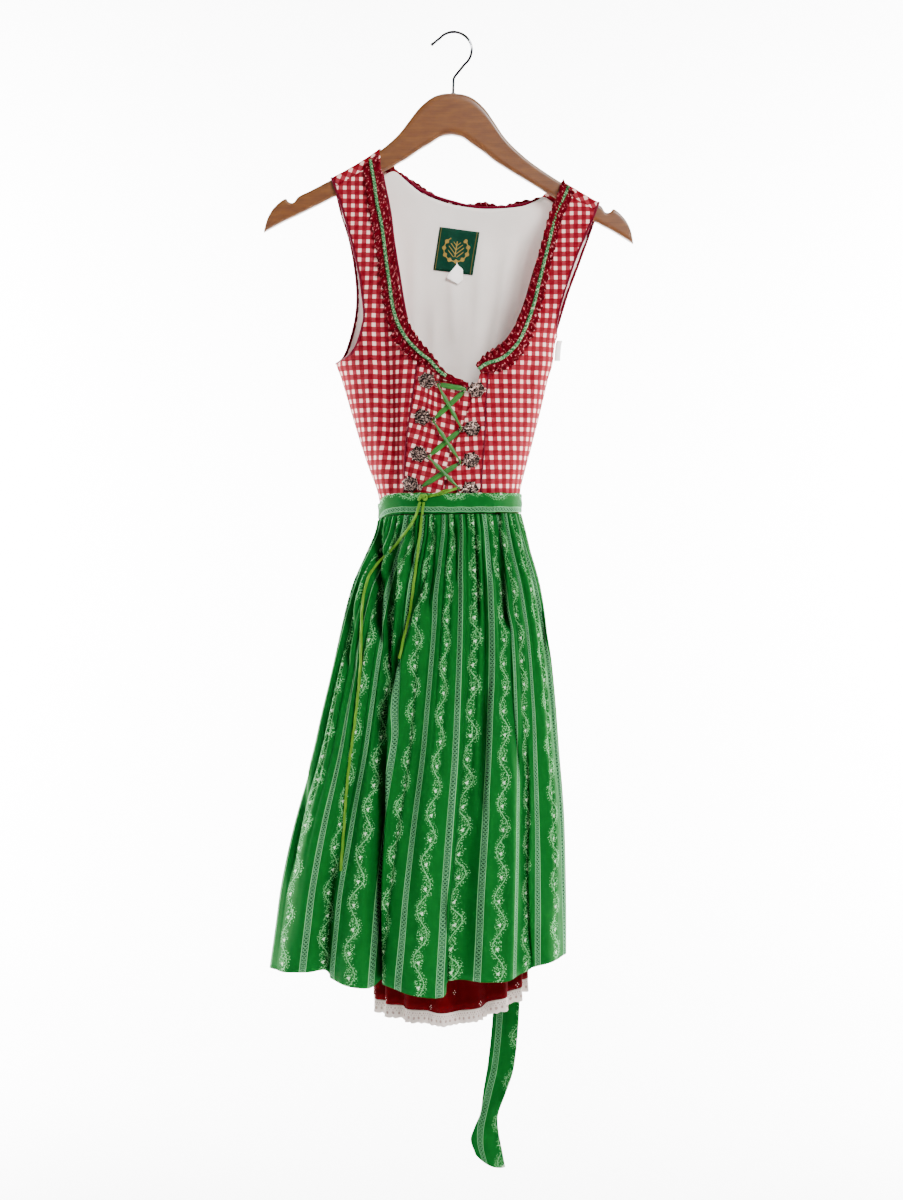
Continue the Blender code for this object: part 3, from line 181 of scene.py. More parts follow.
CENTRE_GAP = (Edge(-400, 9), Edge(-430, 7), Edge(-470, 3), Edge(-500, 1.5), Edge(-560, 0.6))

# A shoulder piece's two edges: run is measured over the hanger, from front to back
FRONT_SEAM_DROP = 12.5
BACK_SEAM_DROP = 26.0
FRONT_RUN = FRONT_SEAM_DROP - CREST_DROP + CREST_HALF
BACK_RUN = BACK_SEAM_DROP - CREST_DROP + CREST_HALF
SHOULDER_LEFT = table(
    Shoulder, (-FRONT_RUN, -138.2, -86.6), (0, -142.5, -87.5), (BACK_RUN, -135.5, -70),
)
SHOULDER_RIGHT = table(
    Shoulder, (-FRONT_RUN, 162.2, 123.6), (0, 166, 125), (BACK_RUN, 160.5, 104),
)

# The back neck's edge, from the left shoulder piece to the right one
BACK_NECK = table(
    Place, (-62, -164), (-51, -173), (-40, -181), (-25, -187), (-10, -191.5), (17, -198),
    (41, -200), (77, -197), (92, -192.5),
)
# An armhole's edges are read from the tables below these heights, and over the hanger by run
ARM_TOP = {"left": (-180, -200), "right": (-205, -222)}
SHOULDER_RUNS = (26, 19, 13, 9, 6, 3, 0, -3, -6, -9)
ARM_BOTTOM = {"left": -386, "right": -355}
ARM_HOLE = {"left": Vector((-400, 0, -250)), "right": Vector((400, 0, -250))}
NECK_MIDDLE = Vector((20, 0, -260))
ABOVE_BACK_NECK = Vector((20, 0, -100))
ACROSS = Vector((1, 0, 0))
FORWARD = Vector((0, -1, 0))

# Upper edges that aren't level, as places along the neck
CENTRE_TOP_LEFT = table(
    Place, (0.0, -370), (0.25, -378), (0.4, -392), (0.55, -402), (1.0, -410),
)
CENTRE_TOP_RIGHT = (Place(0.0, -405), Place(0.3, -396), Place(0.6, -387), Place(1.0, -381))
BACK_NECK_DIP = table(
    Place, (-40, -182.5), (-25, -188.8), (-10, -193), (17, -198), (41, -200), (77, -197),
)

LINING_TOP = table(
    Place, (-133, -200), (-110, -182), (-90, -170), (-72, -161), (-64, -166), (-51, -177),
    (-38, -186), (-10, -196), (17, -201), (41, -202.5), (77, -200), (93, -195), (105, -190),
    (114, -195), (132, -206), (155, -223),
)

# Middle line and half width of the neck ruffle, which the braid follows
RUFFLE_LEFT = table(
    Way, (-98, -150, 9), (-94, -173, 10), (-90, -203, 10), (-84, -232, 10), (-77, -282, 9.5),
    (-69, -330, 8.5), (-59, -356, 7.5), (-49, -370, 7), (-39, -380, 6.5), (-27, -390, 5.5),
    (-16, -402, 4.5), (-1, -411, 3.6), (8, -414, 3.2), (15, -416, 3),
)
RUFFLE_RIGHT = table(
    Way, (131, -181, 8), (123, -202, 7), (115, -222, 7), (106, -256, 7.5), (97, -290, 8),
    (89, -320, 8.5), (79, -347, 9), (70, -366, 8.5), (58, -380, 8), (45, -388, 7), (32, -393, 5),
    (26, -398, 3.6),
)
BACK_RUFFLE = table(
    Place, (-98, -150), (-90, -155), (-79, -163), (-68, -172), (-54, -182), (-34, -191),
    (-10, -199), (17, -204), (41, -206), (77, -203), (97, -199), (112, -194), (123, -188),
    (130, -181),
)
BACK_RUFFLE_HALF = 6.0

HANGER = table(
    Reach, (0, -70.5, -118.5), (12, -71.5, -121), (24, -76, -129), (38, -88, -138),
    (50, -104, -147), (60, -118, -153), (72, -130.5, -160), (90, -145.5, -170),
    (105, -155.7, -178.3), (120, -165, -186.5), (135, -173.5, -195), (150, -182, -203.5),
    (164, -189.8, -211), (177, -197, -218), (181, -203, -220), (187, -203, -223),
    (191, -199, -225), (205, -211, -233), (212, -224, -237), (215, -235, -239),
)

HOOKS_LEFT = (Place(-32, -411), Place(-37, -452), Place(-41, -494), Place(-50, -528))
HOOKS_RIGHT = (Place(24, -421), Place(19, -465), Place(18, -501), Place(17, -534))
RINGS_LEFT = (Place(-20, -415), Place(-25, -456), Place(-30, -497), Place(-39, -532))
RINGS_RIGHT = (Place(12, -421), Place(7, -466), Place(6, -504), Place(5, -535))
UNDER = 1.7            # a strand under a ring
OVER = 5.6             # a strand over a ring
STRANDS = table(
    Strand, ("left", 0, "right", 0, UNDER, OVER), ("left", 0, "right", 1, OVER, OVER),
    ("right", 0, "left", 1, UNDER, UNDER), ("left", 1, "right", 2, OVER, OVER),
    ("right", 1, "left", 2, UNDER, UNDER), ("left", 2, "right", 3, OVER, OVER),
    ("right", 2, "left", 3, UNDER, UNDER),
)

# The waistband's edges, and where the apron skirt reaches at each height and at its hem
BAND_TOP = table(
    Place, (-86, -549), (-78, -542), (-66, -538.5), (3, -539), (76, -537),
)
BAND_BOTTOM = (Place(-86, -566), Place(-56, -562.5), Place(3, -562), Place(74, -559))
BAND_START = radians(9)
BAND_END = radians(171)
APRON = table(
    Girth, (-560, -92, 79), (-584, -98, 86), (-605, -107, 92), (-645, -125, 104),
    (-708, -142, 114), (-781, -158, 121), (-839, -169, 124), (-912, -187, 127), (-991, -203, 128),
    (-1043, -210, 128), (-1095, -216, 127),
)
# The apron's hem in plan: crests and valleys from its left edge behind to its right edge
APRON_HEM = table(
    Hem, (-172, -46, -1082), (-204, -20, -1084), (-215, 10, -1086), (-196, 44, -1086),
    (-170, 60, -1084), (-151, 50, -1083), (-141, 64, -1090), (-120, 86, -1095), (-98, 92, -1097),
    (-85, 72, -1095), (-79, 68, -1095), (-74, 84, -1095), (-52, 103, -1101), (-28, 110, -1104),
    (-12, 104, -1103), (-9, 84, -1092), (4, 76, -1089), (30, 94, -1089), (56, 96, -1088),
    (76, 76, -1082), (88, 66, -1077), (104, 66, -1073), (121, 40, -1069), (127, 12, -1068),
    (118, -20, -1070), (96, -42, -1072),
)

# The skirt's hem by degrees round it from its left side, by the front
SKIRT_HEM = table(
    Place, (0, -1120), (45, -1126), (90, -1131), (135, -1116), (180, -1098), (225, -1104),
    (270, -1110), (315, -1112), (360, -1120),
)

TAIL = table(
    Strip, (-566.6, 49.2, 57.5, 4.4, 0), (-585, 49, 63, 11, 6), (-620, 50, 67, 15, 8),
    (-700, 54, 72, 16, -6), (-850, 58, 74, 17, 8), (-1000, 61, 78, 16, -8), (-1120, 62, 82, 16, 0),
    (-1165, 61, 84, 16, 6), (-1223, 55, 86, 16, 0), (-1255, 47, 87, 14, -20),
    (-1280, 41, 88, 12, -30), (-1300, 38, 88, 15, -12), (-1320, 38, 89, 19, 0),
    (-1340, 43, 90, 18, 8),
)
SHORT_TAIL = table(
    Strip, (-566.6, 38.8, 57.5, 4.4, 0), (-585, 27, 62.5, 10, -6), (-620, 19, 66, 15, -8),
    (-700, 14, 70, 16, 6), (-800, 10, 72, 16, -6), (-900, 9, 73, 17, 6), (-960, 8, 74, 17, 0),
)

# Free lacing ends, from the knot down over the waistband and the apron
KNOT = Place(-35, -544)
END_LONG = table(
    Place, (-37.5, -549), (-40, -557), (-47, -570), (-57, -584), (-72, -602), (-88, -617),
    (-98, -632), (-103, -648), (-106, -668), (-107, -700), (-108, -740), (-113, -790),
    (-119, -835), (-124, -880), (-127, -925), (-130, -968),
)
END_SHORT = table(
    Place, (-33.5, -549.5), (-35, -558), (-39, -580), (-43, -612), (-47, -642), (-52, -676),
    (-58, -702), (-63, -726),
)


# Shapes read from the tables

CURVES = {}


def curve_of(rows, name):
    """One column of a table as sorted places, values and slopes, kept once worked out."""
    key = (id(rows), name)
    if key not in CURVES:
        pairs = sorted((row[0], row[1] if name is None else getattr(row, name)) for row in rows)
        places, values = zip(*pairs)
        last = len(pairs) - 1
        slopes = []
        for spot in range(last + 1):
            low, high = max(spot - 1, 0), min(spot + 1, last)
            slopes.append((values[high] - values[low]) / (places[high] - places[low]))
        CURVES[key] = places, values, slopes
    return CURVES[key]


def column(rows, name, at):
    """A column of a table as a smooth curve of its first one, which runs one way."""
    places, values, slopes = curve_of(rows, name)
    spot = min(max(bisect_right(places, at), 1), len(places) - 1)
    span = places[spot] - places[spot - 1]
    share = min(max((at - places[spot - 1]) / span, 0), 1)
    square, cube = share ** 2, share ** 3
    return (
        (2 * cube - 3 * square + 1) * values[spot - 1]
        + (cube - 2 * square + share) * slopes[spot - 1] * span
        + (3 * square - 2 * cube) * values[spot]
        + (cube - square) * slopes[spot] * span
    )


def read(rows, at):
    """column() for a table of two columns."""
    return column(rows, None, at)


def sides(rows, height):
    """How far left and right a table reaches at this height."""
    return column(rows, "left", height), column(rows, "right", height)


def ease(share):
    """0 to 1 with a soft start and end."""
    share = min(max(share, 0), 1)
    return share * share * (3 - 2 * share)


def within(share, rate):
    """1 in the middle of a share from 0 to 1, with a soft fall to 0 at both ends."""
    return ease(share * rate) * ease((1 - share) * rate)


def mix(low, high, share):
    """From low to high by a share from 0 to 1."""
    return low + (high - low) * share


def bump(offset):
    """A smooth hill, 1 at 0 and nearly 0 beyond 2."""
    return 2.718 ** (-offset * offset)


def chance(number, seed):
    """A fixed number from 0 to 1 that looks drawn by lot, one for each whole number and seed."""
    return (sin(number * 127.1 + seed * 311.7) * 43758.5453) % 1


def smooth_line(points, count):
    """count points evenly along a smooth curve through the given ones."""
    fine = []
    last = len(points) - 1
    for spot in range(last):
        a, b = points[max(spot - 1, 0)], points[spot]
        c, d = points[spot + 1], points[min(spot + 2, last)]
        for step in range(16):
            t = step / 16
            fine.append(
                (b * 2 + (c - a) * t + (a * 2 - b * 5 + c * 4 - d) * t ** 2
                 + (b * 3 - a - c * 3 + d) * t ** 3) / 2
            )
    fine.append(points[-1])
    lengths = [0.0]
    for first, second in zip(fine, fine[1:]):
        lengths.append(lengths[-1] + (second - first).length)
    line = []
    spot = 0
    for number in range(count):
        wanted = lengths[-1] * number / (count - 1)
        while spot < len(fine) - 2 and lengths[spot + 1] < wanted:
            spot += 1
        share = (wanted - lengths[spot]) / max(lengths[spot + 1] - lengths[spot], 1e-9)
        line.append(fine[spot].lerp(fine[spot + 1], min(max(share, 0), 1)))
    return line


def forwards(point):
    """Outward for what lies on the front, wherever the point is."""
    return FORWARD


def length_of(line):
    return sum((second - first).length for first, second in zip(line, line[1:]))


# The dress's surface

def crest(across):
    """Height of the shoulder cloth's middle over the hanger's sloping top edge."""
    reach = across + SHOULDER_FALL * sin(HANGER_TILT)
    top = column(HANGER, "top", abs(reach))
    return top * cos(HANGER_TILT) - reach * sin(HANGER_TILT) + CREST_CLEAR


def troughs(across, height, front):
    """How far the large folds push the wall inwards here."""
    pushed = 0.0
    for fold in (FRONT_FOLD,) if front else BACK_FOLDS:
        if fold[-1].height < height < fold[0].height:
            offset = (across - column(fold, "across", height)) / column(fold, "half_width", height)
            pushed += column(fold, "depth", height) * bump(offset)
    return pushed


def wall(angle, height, front, folded=True):
    """A point of the dress's wall: angle 0 is its left side, pi its right, both seams."""
    left, right = sides(BODY, height)
    depth = column(BODY, "front" if front else "back", height)
    across = (left + right) / 2 - (right - left) / 2 * cos(angle)
    out = depth * sin(angle)
    drop = crest(across) - height
    if drop < 2 * SHOULDER_SLOPE and abs(across) > 40:
        out = mix(CREST_HALF, out, ease((drop - CREST_DROP) / SHOULDER_SLOPE))
    if folded:
        out -= troughs(across, height, front) * ease(sin(angle) * 3)
    return Vector((across, -out if front else out, height))


def angle_at(across, height):
    """The section's angle at which the wall is this far across."""
    left, right = sides(BODY, height)
    share = ((left + right) / 2 - across) / ((right - left) / 2)
    return acos(min(max(share, -1), 1))


def front(across, height):
    return wall(angle_at(across, height), height, True)


def back(across, height):
    return wall(angle_at(across, height), height, False)


def over_shoulder(across, along):
    """The cloth over the hanger: along is 0 on the crest, above 0 in front, below 0 behind."""
    run = abs(along)
    top = crest(across)
    if run < CREST_HALF:
        turn = run / CREST_HALF * pi / 2
        out = CREST_HALF * sin(turn)
        height = top - CREST_DROP * (1 - cos(turn))
        return Vector((across, -out if along > 0 else out, height))
    height = top - CREST_DROP - (run - CREST_HALF)
    return front(across, height) if along > 0 else back(across, height)


def along_of(across, height):
    """over_shoulder's second value for a point of the wall at this height."""
    drop = crest(across) - height
    if drop < CREST_DROP:
        return acos(max(1 - max(drop, 0) / CREST_DROP, 0)) * 2 / pi * CREST_HALF
    return drop - CREST_DROP + CREST_HALF


def lifted(surface, first, second, out):
    """A point of surface(first, second), moved out along its normal, away from the dress."""
    step = 0.5
    here = surface(first, second)
    over = surface(first + step, second) - surface(first - step, second)
    down = surface(first, second + step) - surface(first, second - step)
    normal = over.cross(down).normalized()
    upward = 40 if abs(here.y) < CREST_HALF else 0
    if normal.dot(Vector((0, here.y, upward))) < 0:
        normal = -normal
    return here + normal * out


def lifted_wall(angle, height, front, out, folded=True):
    """A point of the wall by its angle, moved out along its level normal."""
    here = wall(angle, height, front, folded)
    ahead = wall(angle + 0.02, height, front, folded) - wall(angle - 0.02, height, front, folded)
    normal = Vector((ahead.y, -ahead.x, 0)).normalized()
    if normal.dot(here - Vector((WAIST_MIDDLE, 0, height))) < 0:
        normal = -normal
    return here + normal * out


def creased(creases, across, height):
    """How far soft creases, drawn from one place to another, push the cloth in here."""
    pushed = 0.0
    for crease in creases:
        run = (height - crease.height) / (crease.to_height - crease.height)
        if 0 < run < 1:
            middle = mix(crease.across, crease.to_across, run)
            offset = (across - middle) / crease.half_width
            pushed += crease.depth * bump(offset) * within(run, 4)
    return pushed


# Making cloth, cords and solids

def add_grid(mesh, columns, rows, place, flat):
    """A grid in the mesh, shaped by place(share across, share down) in millimetres.

    flat(points) gives the cloth's flat places, which go in the map named cloth.
    """
    shares = {}
    made = bmesh.ops.create_grid(mesh, x_segments=columns, y_segments=rows, size=0.5)
    points = np.zeros((rows + 1, columns + 1, 3))
    for point in made["verts"]:
        across, down = round((point.co.x + 0.5) * columns), round((0.5 - point.co.y) * rows)
        shares[point] = down, across
        there = place(across / columns, down / rows)
        points[down, across] = there
        point.co = there * MM
    places = flat(points)
    layer = mesh.loops.layers.uv["cloth"]
    faces = {face for point in made["verts"] for face in point.link_faces}
    for face in faces:
        for loop in face.loops:
            loop[layer].uv = places[shares[loop.vert]]
    return points


def runs(points):
    """Lengths along the rows and down the columns of a grid of points."""
    lengths = []
    for axis in (1, 0):
        steps = np.linalg.norm(np.diff(points, axis=axis), axis=2)
        start = np.zeros_like(steps[:, :1] if axis == 1 else steps[:1])
        lengths.append(np.concatenate([start, np.cumsum(steps, axis=axis)], axis=axis))
    return lengths


def turned(over, down, degrees=0):
    """Flat places from lengths across and down, turned about their start."""
    turn = radians(degrees)
    flat = np.empty(over.shape + (2,))
    flat[..., 0] = over * cos(turn) + down * sin(turn)
    flat[..., 1] = down * cos(turn) - over * sin(turn)
    return flat


def flat_from_middle(degrees=0):
    """Flat places measured along the rows from their middle, and down the middle column."""
    def flat(points):
        middle = points.shape[1] // 2
        over, down = runs(points)
        middle = slice(middle, middle + 1)
        return turned(over - over[:, middle], 0 * over + down[:, middle], degrees)
    return flat


def flat_plumb(across, degrees):
    """Flat places of cloth whose upright threads hang plumb from this place across."""
    def flat(points):
        over, _ = runs(points)
        starts = []
        for row, run in zip(points[..., 0], over):
            inside = min(max(across, row[0]), row[-1])
            starts.append(np.interp(inside, row, run) + across - inside)
        return turned(over - np.array(starts)[:, None], -points[..., 2], degrees)
    return flat


def new_mesh():
    mesh = bmesh.new()
    mesh.loops.layers.uv.new("cloth")
    return mesh


def placed(mesh, node, finish, name=None, closed=True):
    """The bmesh as a finished piece that stands for a node of the frame."""
    name = name or node.replace("_", "-")
    if closed:
        bmesh.ops.recalc_face_normals(mesh, faces=mesh.faces)
    data = bpy.data.meshes.new(name)
    mesh.to_mesh(data)
    mesh.free()
    data.shade_smooth()
    data.materials.append(finish())
    piece = bpy.data.objects.new(name, data)
    bpy.context.collection.objects.link(piece)
    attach(piece, "root")
    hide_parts(node)
    return piece


def cloth(node, size, place, thickness, finish, flat=None, name=None, ring=False):
    """A sheet of cloth with its real thickness, mapped with the cut that it shows."""
    mesh = new_mesh()
    points = add_grid(mesh, *size, place, flat or flat_from_middle())
    if ring:
        bmesh.ops.remove_doubles(mesh, verts=mesh.verts, dist=RING_WELD * MM)
    bmesh.ops.recalc_face_normals(mesh, faces=mesh.faces)
    area = sum(face.calc_area() for face in mesh.faces)
    piece = placed(mesh, node, finish, name, closed=False)
    walls = piece.modifiers.new("cloth thickness", "SOLIDIFY")
    walls.thickness = thickness * MM
    walls.offset = 0


def round_line(line, half_width, half_height, outward):
    """place() for a grid wrapped round a line of points, its height towards outward(point)."""
    count = len(line) - 1
    is_loop = (line[0] - line[-1]).length < 0.01

    def place(share_round, share_along):
        spot = round(share_along * count)
        here = line[spot]
        if is_loop and spot in (0, count):
            ahead = line[1] - line[-2]
        else:
            ahead = line[min(spot + 1, count)] - line[max(spot - 1, 0)]
        side = ahead.cross(outward(here)).normalized()
        up = side.cross(ahead).normalized()
        turn = 2 * pi * share_round
        width = half_width(share_along) if callable(half_width) else half_width
        return here + side * (width * cos(turn)) + up * (half_height * sin(turn))

    return place


def flat_round(points):
    """Flat places on a cord: round it first, then along it."""
    over, down = runs(points)
    return turned(over, down.mean(axis=1, keepdims=True) + 0 * over)


def add_tube(mesh, line, half_width, half_height, outward, sides):
    """A closed tube along a line, added to the mesh."""
    first = len(mesh.verts)
    place = round_line(line, half_width, half_height, outward)
    add_grid(mesh, sides, len(line) - 1, place, flat_round)
    mesh.verts.ensure_lookup_table()
    new = mesh.verts[first:]
    bmesh.ops.remove_doubles(mesh, verts=new, dist=WELD * MM)
    mesh.edges.ensure_lookup_table()
    rims = [edge for edge in mesh.edges if edge.is_boundary]
    bmesh.ops.holes_fill(mesh, edges=rims, sides=0)


def add_rope(mesh, line, radius, strands, pitch, outward, sides):
    """Twisted strands round a line."""
    count = len(line) - 1
    step = length_of(line) / count
    for strand in range(strands):
        turns = []
        for spot, here in enumerate(line):
            ahead = (line[min(spot + 1, count)] - line[max(spot - 1, 0)]).normalized()
            side = ahead.cross(outward(here)).normalized()
            up = side.cross(ahead)
            turn = 2 * pi * (spot * step / pitch + strand / strands)
            turns.append(here + (side * cos(turn) + up * sin(turn)) * radius * 0.5)
        add_tube(mesh, turns, radius * 0.56, radius * 0.56, outward, sides)


def add_ring(mesh, matrix, major, minor, around=20, sides=8):
    """A closed ring about the matrix's z axis, in millimetres."""
    section = bmesh.ops.create_circle(
        mesh, segments=sides, radius=minor * MM,
        matrix=Matrix.Translation((major * MM, 0, 0)) @ Matrix.Rotation(pi / 2, 4, "X"),
    )["verts"]
    edges = list({edge for point in section for edge in point.link_edges})
    spun = bmesh.ops.spin(
        mesh, geom=section + edges, cent=(0, 0, 0), axis=(0, 0, 1), angle=2 * pi,
        steps=around, use_merge=True,
    )
    points = set(section)
    for item in spun["geom_last"]:
        if isinstance(item, bmesh.types.BMVert):
            points.add(item)
    grown = set(points)
    while True:
        more = {edge.other_vert(point) for point in grown for edge in point.link_edges} - grown
        if not more:
            break
        grown |= more
    bmesh.ops.transform(mesh, matrix=matrix, verts=list(grown))


# Shader node tools

class Field:
    """A number in a node tree. Arithmetic on it adds Math nodes."""

    def __init__(self, tree, socket):
        self.tree = tree
        self.socket = socket

    def math(self, operation, *others):
        node = self.tree.nodes.new("ShaderNodeMath")
        node.operation = operation
        for spot, value in enumerate((self, *others)):
            if isinstance(value, Field):
                self.tree.links.new(value.socket, node.inputs[spot])
            else:
                node.inputs[spot].default_value = value
        return Field(self.tree, node.outputs[0])

    def __add__(self, other):
        return self.math("ADD", other)

    def __sub__(self, other):
        return self.math("SUBTRACT", other)

    def __mul__(self, other):
        return self.math("MULTIPLY", other)

    def __truediv__(self, other):
        return self.math("DIVIDE", other)

    def size(self):
        return self.math("ABSOLUTE")

    def sine(self):
        return self.math("SINE")

    def square(self):
        return self.math("POWER", 2.0)

    def root(self):
        return self.math("SQRT")

    def part(self):
        """What is left above the whole number below it."""
        return self.math("FRACT")

    def whole(self):
        return self.math("FLOOR")

    def larger(self, other):
        return self.math("MAXIMUM", other)

    def below(self, edge, soft):
        """1 under the edge and 0 over it, with a soft step this wide."""
        node = (self * (-1 / soft)).math("ADD", edge / soft + 0.5)
        node.socket.node.use_clamp = True
        return node


def split(tree, vector):
    node = tree.nodes.new("ShaderNodeSeparateXYZ")
    tree.links.new(vector, node.inputs[0])
    return Field(tree, node.outputs[0]), Field(tree, node.outputs[1])


def blend(tree, share, first, second):
    """Two colours mixed; each is a socket or a colour."""
    node = tree.nodes.new("ShaderNodeMix")
    node.data_type = "RGBA"
    for spot, value in ((0, share), (6, first), (7, second)):
        value = value.socket if isinstance(value, Field) else value
        if isinstance(value, bpy.types.NodeSocket):
            tree.links.new(value, node.inputs[spot])
        else:
            node.inputs[spot].default_value = value
    return node.outputs[2]


def clouds(tree, vector, scale, detail=2.0, stretch=(1, 1, 1)):
    """Noise from 0 to 1, with its grain stretched."""
    mapping = tree.nodes.new("ShaderNodeMapping")
    mapping.inputs["Scale"].default_value = stretch
    noise_node = tree.nodes.new("ShaderNodeTexNoise")
    noise_node.inputs["Scale"].default_value = scale
    noise_node.inputs["Detail"].default_value = detail
    tree.links.new(vector, mapping.inputs["Vector"])
    tree.links.new(mapping.outputs[0], noise_node.inputs["Vector"])
    return Field(tree, noise_node.outputs["Fac"])


def group(name, inputs, outputs):
    """A new node group with these sockets: its tree, what it is given and what it gives."""
    tree = bpy.data.node_groups.new(name, "ShaderNodeTree")
    for label, kind, value in inputs:
        socket = tree.interface.new_socket(
            name=label, in_out="INPUT", socket_type=f"NodeSocket{kind}")
        if value is not None:
            socket.default_value = value
    for label, kind in outputs:
        tree.interface.new_socket(name=label, in_out="OUTPUT", socket_type=f"NodeSocket{kind}")
    return tree, tree.nodes.new("NodeGroupInput").outputs, tree.nodes.new("NodeGroupOutput").inputs


def use(tree, made, **values):
    """A group's node in this tree; a value named Cloth_map fills the input Cloth map."""
    node = tree.nodes.new("ShaderNodeGroup")
    node.node_tree = made
    for label, value in values.items():
        socket = node.inputs[label.replace("_", " ")]
        value = value.socket if isinstance(value, Field) else value
        if isinstance(value, bpy.types.NodeSocket):
            tree.links.new(value, socket)
        else:
            socket.default_value = value
    return node.outputs


def paint(red, green, blue):
    """A colour given as screen values from 0 to 255."""
    def linear(value):
        value /= 255
        return value / 12.92 if value <= 0.04045 else ((value + 0.055) / 1.055) ** 2.4
    return linear(red), linear(green), linear(blue), 1.0


def kept_group(build):
    """Builds a node group the first time it is asked for."""
    def get():
        name = build.__name__.replace("_", " ")
        return bpy.data.node_groups.get(name) or build(name)
    return get


# Patterns and finishes, as node groups

STRIPE_HALF = 0.288    # half a gingham stripe, as a share of its repeat; the rest is white
STRIPE_SOFT = 0.03

@kept_group
def plain_weave(name):
    """Crossing threads: their height for a bump, and the uneven tone of slubby yarn."""
    tree, given, wanted = group(
        name, (("Cloth", "Vector", None), ("Thread", "Float", 0.45)),
        (("Height", "Float"), ("Slub", "Float")),
    )
    over, down = split(tree, given["Cloth"])
    thread = Field(tree, given["Thread"])
    height = (over * pi / thread).sine() * (down * pi / thread).sine() * 0.5 + 0.5
    warp = clouds(tree, given["Cloth"], 1.0, 2.0, (1.7, 0.07, 1))
    weft = clouds(tree, given["Cloth"], 1.0, 2.0, (0.07, 1.7, 1))
    slub = (warp + weft) * 0.5
    tree.links.new(height.socket, wanted["Height"])
    tree.links.new(slub.socket, wanted["Slub"])
    return tree


@kept_group
def gingham_check(name):
    """Two colours of yarn crossing in even checks."""
    tree, given, wanted = group(
        name,
        (("Cloth", "Vector", None), ("Check", "Float", 5.4), ("Yarn", "Color", None),
         ("Crossed", "Color", None), ("Plain", "Color", None)),
        (("Colour", "Color"),),
    )
    over, down = split(tree, given["Cloth"])
    check = Field(tree, given["Check"])

    def stripes(along):
        return ((along / check * 0.5).part() - 0.5).size().below(STRIPE_HALF, STRIPE_SOFT)

    warp, weft = stripes(over), stripes(down)
    either = blend(tree, warp.larger(weft), given["Plain"], given["Crossed"])
    both = blend(tree, warp * weft, either, given["Yarn"])
    tree.links.new(both, wanted["Colour"])
    return tree


@kept_group
def chain_and_vine(name):
    """The apron's print: narrow chain stripes, and between them a vine with small blossoms."""
    tree, given, wanted = group(
        name,
        (("Cloth", "Vector", None), ("Repeat", "Float", 50.5), ("Ground", "Color", None),
         ("White", "Color", None), ("Grey", "Color", None), ("Dark", "Color", None)),
        (("Colour", "Color"),),
    )
    over, down = split(tree, given["Cloth"])
    repeat = Field(tree, given["Repeat"])
    beside = ((over / repeat).part() - 0.5) * repeat
    # The chain stripe: a grey band with white borders, links and chevrons in its middle
    band = beside.size().below(3.6, 0.3)
    border = (beside.size() - 3.7).size().below(0.34, 0.25)
    link = (down / 4.6).part() - 0.5
    ring = ((beside / 2.5).square() + (link * 2.3).square()).root()
    links = (ring - 0.82).size().below(0.14, 0.12)
    dash = ((down / 4.2 + beside.size() * 0.3).part() - 0.5).size().below(0.2, 0.1)
    tie = dash * beside.size().below(2.3, 0.3) * 0.85
    # The vine swings from side to side midway between two stripes
    swing = 7.4
    wave = 53.0
    vine_over = ((over / repeat + 0.5).part() - 0.5) * repeat
    from_stem = vine_over - (down * (2 * pi / wave)).sine() * swing
    slope = ((down * (2 * pi / wave) + pi / 2).sine() * (swing * 2 * pi / wave)).size() + 1
    stem = (from_stem / slope).size().below(0.3, 0.3)

    def cells(feature, size):
        node = tree.nodes.new("ShaderNodeTexVoronoi")
        node.feature = feature
        node.voronoi_dimensions = "2D"
        node.inputs["Scale"].default_value = 1 / size
        tree.links.new(given["Cloth"], node.inputs["Vector"])
        return Field(tree, node.outputs["Distance"])

    twigs = cells("DISTANCE_TO_EDGE", 4.4).below(0.025, 0.04) * 0.7
    dots = cells("F1", 2.5).below(0.22, 0.12)
    ragged = clouds(tree, given["Cloth"], 0.16, 1.0)

    def bend(phase, side):
        """Twigs and buds that fill one bend of the vine, and a blossom on their inner side."""
        along = ((down / wave + phase).part() - 0.5) * wave
        aside = vine_over - side * (swing - 4.6)
        spread = (along / 12.5).square() + (aside / 8.6).square()
        cluster = (spread + (ragged - 0.5) * 2.4).below(0.8, 0.3)
        petal_over, petal_along = aside + side * 1.8, along - 3.4
        reach = (petal_along.square() + petal_over.square()).root()
        turn = petal_over.math("ARCTAN2", petal_along)
        flower = (reach - ((turn * 3 + 0.6).sine() * 0.6 + 1.7)).below(0.0, 0.4)
        return cluster * twigs.larger(dots), flower

    first_cluster, first_flower = bend(0.25, 1)
    second_cluster, second_flower = bend(0.75, -1)
    near = (from_stem / slope).size().below(3.2, 1.0)
    light = (stem * 0.8).larger(near * dots * 0.7).larger(first_cluster).larger(second_cluster)
    flowers = first_flower.larger(second_flower)
    grounded = blend(tree, light, given["Ground"], given["White"])
    banded = blend(tree, band * 0.95, grounded, given["Grey"])
    inside = blend(tree, band * tie, banded, given["Dark"])
    ringed = blend(tree, band * links * 0.55, inside, given["White"])
    edged = blend(tree, border * 0.85, ringed, given["White"])
    tree.links.new(blend(tree, flowers, edged, paint(176, 212, 168)), wanted["Colour"])
    return tree


